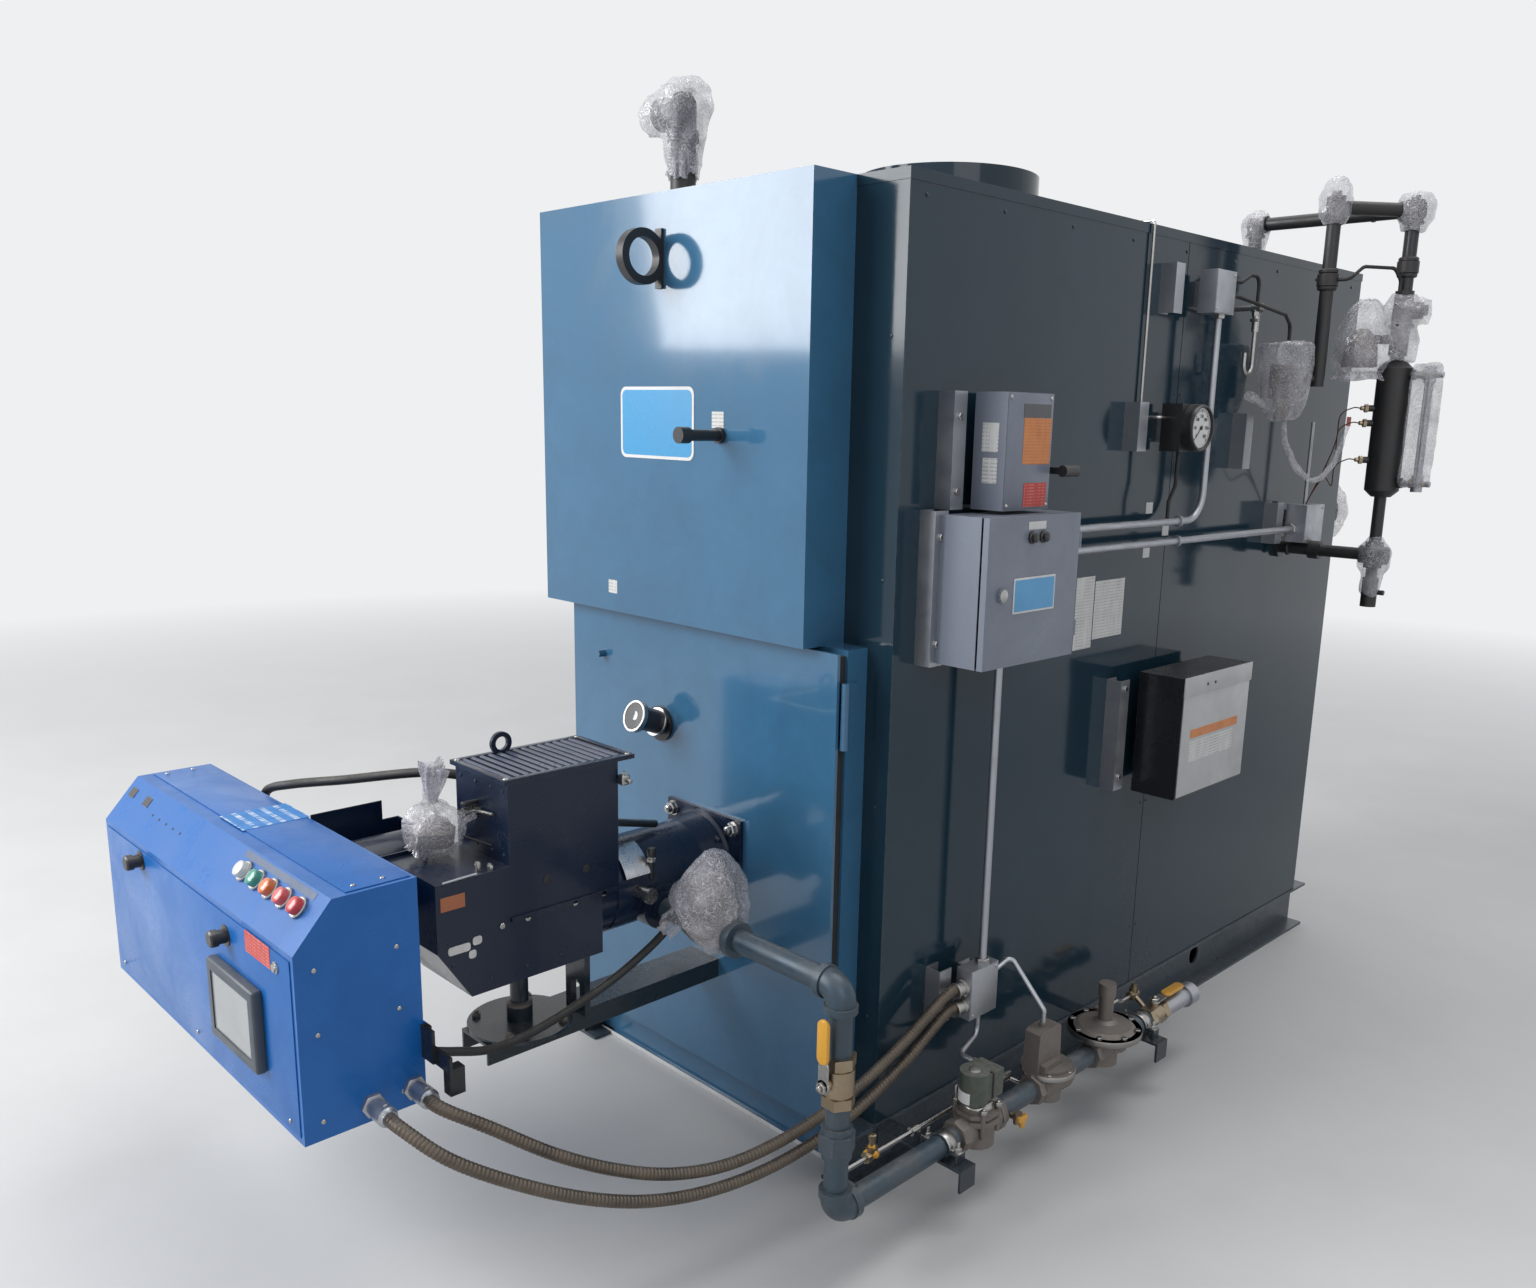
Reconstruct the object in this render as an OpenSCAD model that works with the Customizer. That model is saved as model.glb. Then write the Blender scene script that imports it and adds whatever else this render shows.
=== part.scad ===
// Package steam boiler on a skid: insulated jacket with a forward cover box, gas burner with its
// control cabinet, gas train along the right side, control boxes and a water column at the rear.
// Millimetres. Origin on the floor under the centre of the jacket. +X is the control side, the
// burner looks towards -Y, +Z is up.

/* [Jacket] */
// Width of the jacket
jacket_w = 1060; // [1000:10:1200]
// Length of the jacket, front to rear
jacket_l = 2136; // [2080:10:2300]
// Height of the jacket top above the floor
jacket_top = 2148; // [2120:2:2200]
// Height of the skid under the jacket
skid_h = 150; // [130:2:170]
// Thickness of the jacket sheets
sheet_t = 3; // [2:0.5:4]
// Gap between two sheets on a side
seam_gap = 3; // [2:0.5:5]

/* [Front] */
// Depth of the cover box in front of the jacket
cover_depth = 121; // [110:1:140]
// Right edge of the cover box
cover_right = 393; // [360:1:420]
// Underside of the cover box
cover_bottom = 1217; // [1200:1:1240]
// How far the burner door stands in front of the jacket
door_depth = 90; // [80:1:100]
// Width of the burner door
door_w = 924; // [880:2:940]
// Thickness of the burner door plate
door_t = 8; // [6:1:10]
// Width of the dark gasket behind the door
gasket_t = 23; // [18:1:26]

/* [Flue and steam outlet] */
// Radius of the flue collar
flue_r = 230; // [200:5:250]
// Height of the flue collar
flue_h = 140; // [100:5:160]
// Distance of the flue behind the jacket front
flue_back = 768; // [700:10:900]
// Outer radius of the steam outlet pipe
steam_r = 30; // [26:1:34]

/* [Burner] */
// Burner axis, sideways
burner_x = 57; // [40:1:70]
// Burner axis height
burner_z = 678; // [670:1:690]
// Radius of the blast tube
tube_r = 105; // [95:1:110]
// Side of the square burner flange
flange_w = 256; // [240:2:270]
// Height of the air box top
air_top = 983; // [960:1:1000]

/* [Burner cabinet] */
// Length of the cabinet
cabinet_w = 980; // [940:10:1020]
// Depth of the cabinet
cabinet_d = 231; // [220:1:250]
// Underside of the cabinet
cabinet_z = 420; // [410:1:440]
// Height of the cabinet
cabinet_h = 440; // [420:1:460]
// Height and depth of the sloped front edge
cabinet_slope = 85; // [70:1:95]

/* [Gas train] */
// Gas pipe distance from the jacket side
gas_off = 170; // [165:1:180]
// Gas pipe height
gas_z = 170; // [168:1:176]
// Outer radius of the gas pipe
gas_r = 24; // [23:0.5:25]
// Radius of the regulator diaphragm case
disc_r = 90; // [80:1:95]
// Length of the yellow valve levers
lever_len = 138; // [110:1:145]

/* [Control side] */
// Depth of the mounting channels
strut_d = 41; // [38:1:45]
// Width of the control enclosure
encl_w = 322; // [300:2:340]
// Height of the control enclosure
encl_h = 306; // [290:2:320]
// Depth of the control enclosure with its door
encl_d = 119; // [110:1:135]
// Gap between the control door and its box
door_gap = 5.2; // [5.2:0.2:7]
// Depth of the document box
doc_d = 122; // [100:1:140]

/* [Water column] */
// Distance of the column from the jacket side
column_off = 282; // [275:1:300]
// Distance of the column from the rear of the jacket
column_ahead = 402; // [390:1:420]
// Radius of the column body
column_r = 45; // [40:1:50]
// Top of the column body below the jacket top
column_drop = 282; // [276:2:296]
// Height of the column body
column_h = 366; // [356:2:376]
// Outer radius of the column pipes
pipe_r = 18; // [16:0.5:20]

/* [Part] */
// Which sub-part to show, or all

/* [Hidden] */
$fn = 48;
e = 0.01;
// clearance of pieces that are only laid round each other, and of a pin in its bore
fit = 0.3;
run_fit = 0.08;

// jacket faces
hw = jacket_w / 2;
hl = jacket_l / 2;
y_front = -hl;
y_door = y_front - door_depth;
y_cover = y_front - cover_depth;
cap_t = 2;
cap_lip = 22;
cap_cut = 30;
seam_y = 0;

// skid
rail_w = 100;
rail_web = 6;
rail_flange = 8;
rail_x = hw - rail_w / 2 + 4;
rail_front = y_front - 65;
rail_rear = hl + 84;
rail_hole_r = 28;
rail_hole_y = 470;
cross_w = 60;
cross_back = 60;
cross_lap = 50;
skirt_t = 6;
skirt_toe = 10;

// front
door_hw = door_w / 2;
door_top = cover_bottom - 5;
hinge_z_low = 330;
hinge_z_high = 1011;
hinge_len = 141;
hinge_barrel_r = 9;
stop_x = -336;
stop_z = 1098;
ring_x = -70;
ring_z = 2010;
ring_r = 58;
ring_eye_r = 40;
ring_stand = 46;
handle_x = 132;
handle_z = 1640;
handle_reach = 116;
port_x = -107;
port_z = 962;
port_r = 28;
port_len = 84;

// flue and steam outlet
flue_y = y_front + flue_back;
flue_wall = 4;
steam_x = -247;
steam_y = y_front + 88;
steam_len = 130;

// burner
flange_t = 10;
flange_z = 662;
tube_y0 = y_door - flange_t;
flare_len = 60;
burner_front = y_front - 834;
air_y0 = y_front - 676;
air_y1 = y_front - 415;
air_x0 = burner_x - 93;
air_x1 = burner_x + 99;
scroll_y0 = burner_front;
scroll_y1 = y_front - 458;
scroll_z0 = 575;
scroll_z1 = 712;
scroll_front_z = 818;
scroll_bevel_y = 68;
scroll_bevel_z = 105;
grille_t = 8;
grille_lip = 8;
grille_lap = 40;
louvres = 14;
support_z = 430;
support_w = 100;
support_h = 45;
support_end = y_front - 707;
post_y = y_front - 601;
post_r = 19;
turn_r = 108;
slot_y0 = y_front - 492;
ball_r = 60;
ball_x = 13;
ball_y = scroll_y0 + 76;
ball_z = scroll_front_z + ball_r + fit;

// cabinet
cab_x1 = 190;
cab_x0 = cab_x1 - cabinet_w;
cab_y1 = y_front - 887;
cab_y0 = cab_y1 - cabinet_d;
cab_z1 = cabinet_z + cabinet_h;
screen_x0 = -152;
screen_w = 214;
screen_z = 100;
screen_h = 152;
screen_d = 30;
lamp_x = -116;
lamp_pitch = 59;
lamp_r = 19;
knob_left_x = -562;
knob_right_x = -103;
knob_left_z = 741;
knob_right_z = 721;
gland_r = 15;
gland_len = 34;
gland_y1 = cab_y1 - 25;
gland_y2 = cab_y1 - 106;
gland_z1 = 456;
gland_z2 = 453;
tray_x0 = -250;
tray_z0 = 700;
tray_z1 = 868;
tray_y1 = y_front - 697;
motor_r = 62;
hose_exit_x = -575;
hose_exit_z = 700;
hose_air_y = air_y0 + 44;
hose_air_z = 940;

// gas train
gas_x = hw + gas_off;
riser_y = y_front - 307;
upper_z = 640;
elbow_rb = 34;
inlet_boss_r = 50;
inlet_boss_x = burner_x + tube_r + 6;
burner_inlet_x = inlet_boss_x + 14;
wrap_x = 322;
wrap_z0 = 598;
wrap_ring_x = 396;
wrap_ring_r = 38;
fb_z = 452;
fb_r = 31;
fb_half = 52;
lever_gap = 10;
stem_r = 7;
lever_t = 4;
union_z = 303;
union_h = 38;
rb_y = y_front + 904;
rb_r = 27;
rb_half = 42;
gas_end = rb_y + 194;
gas_bore_r = 20;
gas_bore_len = 30;
valve_y = y_front + 143;
act_y = y_front + 416;
disc_y = y_front + 661;
feet_y1 = y_front + 28;
feet_y2 = y_front + 832;
foot_w = 50;
foot_t = 6;
pilot_x = gas_x - 57;
pilot_z = gas_z + 20;
pilot_y0 = riser_y + 60;
cock1_y = riser_y + 170;
cock2_y = valve_y + 95;
cock3_y = rb_y - 8;
coil_y = valve_y + 35;
coil_z = gas_z + 122;

// control side
strut_w = 41;
strut_t = 3;
face_x = hw + strut_d;
sb_y0 = y_front + 181;
sb_y1 = sb_y0 + 160;
sb_z0 = 1504;
sb_z1 = 1740;
sb_d = 80;
sl_z = 1583;
sl_x = face_x + 50;
sl_pin_r = 6;
en_y0 = y_front + 89;
en_y1 = en_y0 + encl_w;
en_z0 = 1190;
en_z1 = en_z0 + encl_h;
en_t = 2;
en_door_t = 14;
en_front = face_x + encl_d;
lock_y = en_y0 + 51;
lock_z = en_z0 + 150;
hinge_r = 6;
hinge_pin_r = 3.5;
hinge_h = 36;
hinge_leaf = 12;
hinge_x = en_front - hinge_r;
hinge_y = en_y1 + hinge_r + 1;
doc_y0 = y_front + 923;
doc_y1 = doc_y0 + 360;
doc_z0 = 750;
doc_z1 = doc_z0 + 316;

// junction boxes, conduits and cables
jb_low_y0 = y_front + 217;
jb_low_y1 = jb_low_y0 + 100;
jb_low_z0 = 356;
jb_low_z1 = jb_low_z0 + 118;
jb_low_d = 42;
jb_up_y0 = hl - 1079;
jb_up_y1 = jb_up_y0 + 99;
jb_up_z0 = jacket_top - 193;
jb_up_z1 = jb_up_z0 + 103;
jb_up_d = 46;
jb_rear_y0 = hl - 454;
jb_rear_y1 = jb_rear_y0 + 120;
jb_rear_z1 = jacket_top - 682;
jb_rear_z0 = jb_rear_z1 - 108;
jb_rear_d = 59;
run_x = face_x + 21;
run_r = 9;
run_bend = 70;
run_y_up = jb_up_y0 + 71;
run_z_a = en_z1 - 50;
run_z_b = en_z1 - 100;
run_z_top = jb_rear_z1 + 234;
clip_y = jb_up_y0 - 49;
thin_r = 6;
thin_bend = 14;
cable_r = 4.5;
cable_bend = 22;
gauge_y = jb_up_y0 - 76;
gauge_z = jacket_top - 471;
gauge_r = 57;
gauge_d = 54;
gauge_y0 = gauge_y - 55;
gauge_y1 = gauge_y + 42;
siphon_y = hl - 821;
siphon_z = jacket_top - 163;
siphon_x = face_x + 29;
siphon_tube = 5;
siphon_loop = 22;
siphon_drop = 145;
cap_tube_r = 3.5;
cap_tube_y = gauge_y - 101;
cap_tube_z = gauge_z + 23;

// water column
column_x = hw + column_off;
column_y = hl - column_ahead;
column_top = jacket_top - column_drop;
column_foot = column_top - column_h;
column_cone = 18;
tee_z = jacket_top + 108;
tee_half = 26;
pipe1_x = hw + 142;
pipe1_y = hl - 573;
pipe1_foot = jacket_top - 354;
cross_z = column_foot - 163;
glass_z0 = column_foot + 40;
glass_z1 = column_top - 36;
glass_off = 92;
outlet_x = hw - 159;
union_top_z = jacket_top - 37;
union1_z = jacket_top - 77;
float_x = hw + 208;
float_y = hl - 468;
float_z = column_top + 57;
control_x = hw + 90;
control_y = hl - 663;
rear_fit_x = hw - 94;
rear_fit_z = 1420;

// hanging hoses, points chosen by eye along their real run
flex_r = 12.5;
flex_x = run_x;
flex_end = jb_low_y0;
hose_r = 9;
switch_hose_r = 10;
route_upper = [
  [cab_x1 + gland_len, gland_y1, gland_z1], [290, gland_y1, 456], [350, -1920, 420],
  [410, -1820, 350], [455, -1710, 290], [490, -1600, 250], [520, -1480, 235],
  [545, -1340, 250], [565, -1190, 290], [582, -1040, 360], [flex_x, flex_end - 60, 432],
  [flex_x, flex_end, 432]
];
route_lower = [
  [cab_x1 + gland_len, gland_y2, gland_z2], [300, gland_y2, 453], [375, -2010, 405],
  [430, -1910, 340], [470, -1790, 275], [500, -1660, 225], [525, -1520, 200],
  [550, -1370, 205], [570, -1210, 240], [585, -1050, 310], [flex_x, flex_end - 60, 388],
  [flex_x, flex_end, 388]
];
route_hose = [
  [206, -1404, 598], [190, -1420, 572], [176, -1450, 544], [166, -1500, 514],
  [160, -1580, 484], [160, -1700, 457], [162, -1800, 455], [160, -1880, 478],
  [155, -1920, 490], [155, cab_y1, 490]
];
route_switch = [
  [air_x0 - gland_r, hose_air_y, hose_air_z], [-85, hose_air_y, hose_air_z],
  [-150, -1765, 944], [-300, -1855, 912], [-430, -1912, 884], [-530, -1930, 850],
  [-572, -1918, 790], [hose_exit_x, -1906, 730], [hose_exit_x, -1916, hose_exit_z],
  [hose_exit_x, cab_y1 + gland_r, hose_exit_z]
];

// solids with plain corners, given by their limits
module box(x0, x1, y0, y1, z0, z1) {
  translate([x0, y0, z0])
    cube([x1 - x0, y1 - y0, z1 - z0]);
}

module rod_x(x0, x1, y, z, r) {
  translate([x0, y, z])
    rotate([0, 90, 0])
      cylinder(r = r, h = x1 - x0);
}

module rod_y(x, y0, y1, z, r) {
  translate([x, y1, z])
    rotate([90, 0, 0])
      cylinder(r = r, h = y1 - y0);
}

module rod_z(x, y, z0, z1, r) {
  translate([x, y, z0])
    cylinder(r = r, h = z1 - z0);
}

// quarter bend in the local XY plane, from the +X end to the +Y end about the origin
module bend(rb, r) {
  rotate_extrude(angle = 90)
    translate([rb, 0])
      circle(r = r);
}

function unit(v) = v / norm(v);

// straight rod between any two points
module rod_between(a, b, r) {
  d = b - a;
  translate(a)
    rotate([0, acos(d.z / norm(d)), atan2(d.y, d.x)])
      cylinder(r = r, h = norm(d));
}

// arc of radius rb that turns from the line a to p into the line p to b
module corner(a, p, b, rb, r) {
  u = unit(p - a);
  v = unit(b - p);
  turn = acos(u * v);
  n = unit(v - (v * u) * u);
  c = p - rb * tan(turn / 2) * u + rb * n;
  k = cross(-n, u);
  multmatrix([
    [-n.x, u.x, k.x, c.x],
    [-n.y, u.y, k.y, c.y],
    [-n.z, u.z, k.z, c.z]
  ])
    rotate_extrude(angle = turn)
      translate([rb, 0])
        circle(r = r);
}

// thin pipe through the points, bent at each inner one, its bends a little swollen
module pipe_path(pts, rb, r) {
  n = len(pts) - 1;
  swell = 0.3;
  lap = 1;
  cut = [for (i = [0 : n])
    i == 0 || i == n ? 0
    : rb * tan(acos(unit(pts[i] - pts[i - 1]) * unit(pts[i + 1] - pts[i])) / 2) - lap];
  for (i = [0 : n - 1]) {
    d = unit(pts[i + 1] - pts[i]);
    rod_between(pts[i] + cut[i] * d, pts[i + 1] - cut[i + 1] * d, r);
  }
  for (i = [1 : 1 : n - 1])
    corner(pts[i - 1], pts[i], pts[i + 1], rb, r + swell);
}

// C shaped mounting channel standing against the jacket, open side towards +Y
module strut(y0, z0, z1) {
  difference() {
    box(hw, face_x, y0, y0 + strut_w, z0, z1);
    box(hw + strut_t, face_x - strut_t, y0 + strut_t, y0 + strut_w + e, z0 - e, z1 + e);
  }
}

// two channels behind a box, the first showing ahead of it
module strut_pair(y0, y1, z0, z1, ahead, lap) {
  strut(y0 - ahead, z0 - lap, z1 + lap);
  strut(y1 - strut_w - strut_t, z0 + strut_w / 2, z1 - strut_w / 2);
}

module i_beam(x, y0, y1) {
  box(x - rail_w / 2, x + rail_w / 2, y0, y1, 0, rail_flange);
  box(x - rail_w / 2, x + rail_w / 2, y0, y1, skid_h - rail_flange, skid_h);
  box(x - rail_web / 2, x + rail_web / 2, y0, y1, 0, skid_h);
}

module skid_rails() {
  color("DimGray")
    for (s = [-1, 1])
      difference() {
        i_beam(s * rail_x, rail_front, rail_rear);
        rod_x(s * rail_x - rail_web, s * rail_x + rail_web, rail_hole_y, skid_h / 2, rail_hole_r);
      }
}

// channels between the rails, notched at their ends round the rail flanges
module skid_cross_members() {
  in = rail_x - rail_web / 2;
  half = cross_w / 2;
  color("DimGray")
    for (y = [0, hl - cross_back])
      difference() {
        box(-in, in, y - half, y + half, 0, skid_h);
        box(-in + rail_w / 5, in - rail_w / 5, y - half + rail_flange, y + half + 1,
            rail_flange, skid_h - rail_flange);
        for (s = [-1, 1]) {
          box(s * in - cross_lap, s * in + cross_lap, y - half - 1, y + half + 1,
              -1, rail_flange);
          box(s * in - cross_lap, s * in + cross_lap, y - half - 1, y + half + 1,
              skid_h - rail_flange, skid_h + 1);
        }
      }
}

// plate between the rails with a toe along the floor, notched at the left rail
module front_skirt() {
  x0 = -hw + 40;
  x1 = hw - 4 - rail_w;
  notch = rail_flange + 4;
  near = y_front - 2 * skirt_toe;
  far = y_front + 2 * skirt_toe;
  color("CadetBlue")
    difference() {
      union() {
        box(x0, x1, y_front, y_front + skirt_t, 0, skid_h);
        box(x0, x1, y_front - skirt_toe, y_front, 0, rail_flange);
      }
      box(-hw, -rail_x + rail_w / 2 + 3, near, far, skid_h - notch, skid_h + 1);
      box(-hw, -rail_x + rail_w / 2 + 3, near, far, -1, notch);
      box(-hw, -rail_x + rail_web / 2 + 3, near, far, -1, skid_h + 1);
    }
}

module boiler_block() {
  t = sheet_t;
  color("DarkSlateGray")
    box(-hw + t, hw - t, -hl + t, hl - t, skid_h, jacket_top - t);
}

// two sheets on each side, with the seam between them
module side_panels() {
  top = jacket_top - sheet_t;
  color("DarkSlateGray")
    for (x0 = [-hw, hw - sheet_t]) {
      box(x0, x0 + sheet_t, -hl + sheet_t, seam_y - seam_gap / 2, skid_h, top);
      box(x0, x0 + sheet_t, seam_y + seam_gap / 2, hl - sheet_t, skid_h, top);
    }
}

module end_panels() {
  color("DarkSlateGray") {
    box(-hw, hw, y_front, y_front + sheet_t, skid_h, jacket_top - sheet_t);
    box(-hw, hw, hl - sheet_t, hl, skid_h, jacket_top - sheet_t);
  }
}

// folded lid, open to the front behind the cover box
module top_cap() {
  z = jacket_top;
  color("DarkSlateGray")
    difference() {
      box(-hw - cap_t, hw + cap_t, -hl, hl + cap_t, z - cap_lip, z);
      box(-hw, hw, -hl - e, hl, z - cap_lip - e, z - sheet_t);
      box(-hw - cap_t - e, -hw, -hl - e, -hl + cap_cut, z - cap_lip - e, z - sheet_t);
    }
  color("DarkSlateGray")
    box(cover_right + 2, hw + cap_t, y_front - cap_t, y_front, z - cap_lip, z);
}

module lower_front_box() {
  color("CadetBlue")
    box(-door_hw, door_hw, y_door + door_t + gasket_t, y_front, skid_h, cover_bottom);
}

module burner_door() {
  color("CadetBlue")
    box(-door_hw, door_hw, y_door, y_door + door_t, skid_h, door_top);
}

module door_gasket() {
  in = 7;
  y0 = y_door + door_t;
  color("Black")
    box(-door_hw + in, door_hw - in, y0, y0 + gasket_t, skid_h + in, door_top - in);
}

// hinge barrels with their leaves on the right edge and the stop bolt on the left
module door_hinges() {
  r = hinge_barrel_r;
  y_pin = y_door + door_t + r;
  y_leaf = y_door + door_t + gasket_t + 30;
  leaf_t = 4;
  color("SteelBlue")
    for (z = [hinge_z_low, hinge_z_high]) {
      rod_z(door_hw + r, y_pin, z, z + hinge_len, r);
      box(door_hw, door_hw + leaf_t, y_pin, y_leaf, z + leaf_t, z + hinge_len - leaf_t);
    }
  color("Black")
    rod_y(stop_x, y_door - 20, y_door, stop_z, r);
}

module upper_cover_box() {
  color("CadetBlue")
    box(-hw - cap_t, cover_right, y_cover, y_front, cover_bottom, jacket_top);
}

// upright ring welded to a flat bar, its plane square to the cover
module lifting_ring() {
  bar_t = 7;
  half = 12;
  y = y_cover - bar_t - ring_stand;
  color("Black") {
    difference() {
      rod_x(ring_x - half, ring_x + half, y, ring_z, ring_r);
      rod_x(ring_x - half - 1, ring_x + half + 1, y, ring_z, ring_eye_r);
      box(ring_x - ring_r, ring_x + ring_r, y_cover - bar_t, y_cover + ring_r,
          ring_z - 2 * ring_r, ring_z + 2 * ring_r);
    }
    box(ring_x - half + 1, ring_x + half - 1, y_cover - bar_t, y_cover,
        ring_z - ring_r - 4, ring_z + ring_r + 4);
  }
}

module cover_handle() {
  r = 12;
  end_r = 17;
  color("Black") {
    rod_y(handle_x, y_cover - handle_reach, y_cover, handle_z, r);
    rod_y(handle_x, y_cover - handle_reach, y_cover - handle_reach + 26, handle_z, end_r);
    rod_y(handle_x, y_cover - 10, y_cover, handle_z, end_r);
  }
}

// glass ended tube that leans upwards from its round base
module sight_port() {
  color("Silver")
    difference() {
      translate([port_x, y_door, port_z])
        rotate([70, 0, 0]) {
          cylinder(r = port_r, h = port_len);
          translate([0, 0, port_len - 10])
            cylinder(r = port_r + 9, h = 14);
          translate([0, 0, 12])
            cylinder(r = port_r + 6, h = 8);
          translate([0, 0, -port_r - 2])
            cylinder(r = port_r, h = port_r + 3);
        }
      box(port_x - 2 * port_r, port_x + 2 * port_r, y_door, y_door + 2 * port_r,
          port_z - 3 * port_r, port_z + 3 * port_r);
    }
  color("Silver")
    rod_y(port_x, y_door - 8, y_door, port_z, port_r * 1.5);
}

// open collar with its flashing and a closed floor
module flue_collar() {
  color("DarkSlateGray")
    translate([0, flue_y, jacket_top])
      difference() {
        union() {
          cylinder(r = flue_r, h = flue_h, $fn = 96);
          cylinder(r = flue_r + 22, h = 6, $fn = 96);
        }
        translate([0, 0, flue_wall])
          cylinder(r = flue_r - flue_wall, h = flue_h, $fn = 96);
      }
}

// short riser that ends inside its plastic wrap
module steam_pipe() {
  color("DimGray") {
    rod_z(steam_x, steam_y, jacket_top, jacket_top + steam_len, steam_r);
    rod_z(steam_x, steam_y, jacket_top, jacket_top + 26, steam_r + 10);
  }
}

// lumpy bag shape turned about an upright axis, from radius and height pairs
module bag(pts) {
  rotate_extrude()
    polygon(pts);
}

// film over the steam outlet and round a fitting on the rear wall
module jacket_wraps() {
  z0 = jacket_top + 72;
  color("Gainsboro")
    difference() {
      union() {
        translate([steam_x, steam_y, z0])
          bag([[0, 0], [36, 0], [42, 40], [52, 100], [66, 160], [58, 196], [30, 214], [0, 216]]);
        translate([steam_x, steam_y, z0 + 150])
          rotate([0, -90, 0])
            cylinder(r1 = 56, r2 = 48, h = 112);
      }
      rod_z(steam_x, steam_y, z0 - e, jacket_top + steam_len, steam_r + fit);
    }
  color("Gainsboro")
    translate([rear_fit_x, hl, rear_fit_z])
      rotate([-90, 0, 0])
        bag([[0, 0], [40, 0], [58, 30], [92, 70], [94, 120], [60, 160], [0, 172]]);
}

// square flange with its nuts, flared blast tube and the round gas inlet boss
module burner_tube() {
  x = burner_x;
  half = flange_w / 2;
  nut_off = half - 22;
  boss_in = 40;
  color("MidnightBlue") {
    box(x - half, x + half, tube_y0, y_door, flange_z - half, flange_z + half);
    translate([x, tube_y0, burner_z])
      rotate([90, 0, 0])
        rotate_extrude()
          polygon([
            [0, 0], [tube_r + 6, 0], [tube_r + 6, 10], [tube_r, 16],
            [tube_r - 7, 16 + flare_len], [tube_r - 7, tube_y0 - air_y1], [0, tube_y0 - air_y1]
          ]);
    for (sx = [-1, 1], sz = [-1, 1])
      rod_y(x + sx * nut_off, tube_y0 - 16, tube_y0, flange_z + sz * nut_off, 10);
    rod_x(x + boss_in, inlet_boss_x, riser_y, upper_z, inlet_boss_r);
    rod_x(x + boss_in, burner_inlet_x, riser_y, upper_z, gas_r + 10);
  }
}

// fan scroll below, air box above with a flange between, one housing
module burner_housing() {
  color("MidnightBlue") {
    translate([air_x0, 0, 0])
      rotate([90, 0, 90])
        linear_extrude(air_x1 - air_x0)
          polygon([
            [scroll_y0, scroll_front_z], [scroll_y0, scroll_z0 + scroll_bevel_z],
            [scroll_y0 + scroll_bevel_y, scroll_z0], [scroll_y1, scroll_z0],
            [scroll_y1, scroll_z1], [air_y1, scroll_z1], [air_y1, air_top],
            [air_y0, air_top], [air_y0, scroll_front_z]
          ]);
    box(air_x0 - 5, air_x1 + 5, air_y0, air_y1, scroll_z1 - 8, scroll_z1);
    rod_y(burner_x, scroll_y1 - 10, air_y1, burner_z, tube_r - 10);
    rod_x(air_x0 - gland_r, air_x0, hose_air_y, hose_air_z, gland_r);
  }
}

// louvred intake with its frame and a lifting eye
module air_grille() {
  y0 = air_y0 - grille_lip;
  y1 = air_y1 + grille_lap;
  x0 = air_x0 - grille_lip;
  x1 = air_x1 + grille_lip / 2;
  rim = 14;
  slope = 28;
  blade = 13;
  pitch = (y1 - y0 - 2 * rim - 2) / louvres;
  eye_r = 24;
  color("MidnightBlue") {
    difference() {
      box(x0, x1, y0, y1, air_top, air_top + grille_t);
      box(x0 + rim, x1 - rim, y0 + rim, y1 - rim, air_top + 2, air_top + grille_t + 1);
    }
    for (i = [0 : louvres - 1])
      translate([x0 + rim - 1, y0 + rim + 3 + i * pitch, air_top + 1])
        rotate([slope, 0, 0])
          cube([x1 - x0 - 2 * rim + 2, blade, 2]);
    translate([x0 + 10, (y0 + y1) / 2 - 45, air_top + grille_t + eye_r - 4])
      rotate([0, 90, 0])
        difference() {
          cylinder(r = eye_r, h = 8);
          translate([0, 0, -1])
            cylinder(r = eye_r - 10, h = 10);
        }
  }
}

// channel arm on the door, round turntable plate, post and keyhole bracket
module burner_support() {
  x0 = burner_x - support_w / 2 - 2;
  x1 = x0 + support_w;
  z0 = support_z - support_h;
  wall = 5;
  slot_t = 14;
  slot_y1 = slot_y0 + slot_t;
  slot_x = burner_x + 45;
  slot_r = 16;
  slot_z = support_z + 62;
  color("SlateGray") {
    difference() {
      box(x0, x1, support_end, y_door, z0, support_z);
      box(x0 + wall, x1 - wall, support_end - 1, y_door - 8, z0 - 1, support_z - wall - 1);
    }
    rod_z(burner_x, post_y, support_z, support_z + 7, turn_r);
    rod_z(burner_x, post_y, support_z, scroll_z0, post_r);
    rod_z(burner_x, post_y, support_z, support_z + 40, post_r + 8);
  }
  color("SlateGray")
    difference() {
      box(slot_x - 35, slot_x + 35, slot_y0, slot_y1, support_z, scroll_z0);
      rod_y(slot_x, slot_y0 - 1, slot_y1 + 1, slot_z, slot_r);
      box(slot_x - slot_r, slot_x + slot_r, slot_y0 - 1, slot_y1 + 1, slot_z - 2 * slot_r, slot_z);
    }
}

// bags over the air pressure switch, with its gathered tail, and over the gas butterfly valve
module burner_wraps() {
  color("WhiteSmoke") {
    translate([ball_x, ball_y, ball_z])
      sphere(r = ball_r);
    translate([ball_x, ball_y, ball_z + ball_r - 6])
      cylinder(r1 = 12, r2 = 28, h = 84);
    rod_y(ball_x + ball_r / 2, ball_y + ball_r / 2, air_y0, ball_z + 18, 9);
  }
  color("Gainsboro")
    difference() {
      union() {
        translate([wrap_x, riser_y, wrap_z0])
          bag([
            [0, 0], [50, 0], [74, 30], [86, 80], [84, 130], [66, 175], [30, 200], [0, 204]
          ]);
        rod_between([wrap_x - 50, riser_y - 4, upper_z + 32], route_hose[0], 24);
      }
      rod_x(inlet_boss_x, wrap_x - 60, riser_y, upper_z, gas_r + fit);
      rod_x(wrap_ring_x, wrap_ring_x + 60, riser_y, upper_z, wrap_ring_r + fit);
    }
}

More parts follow.
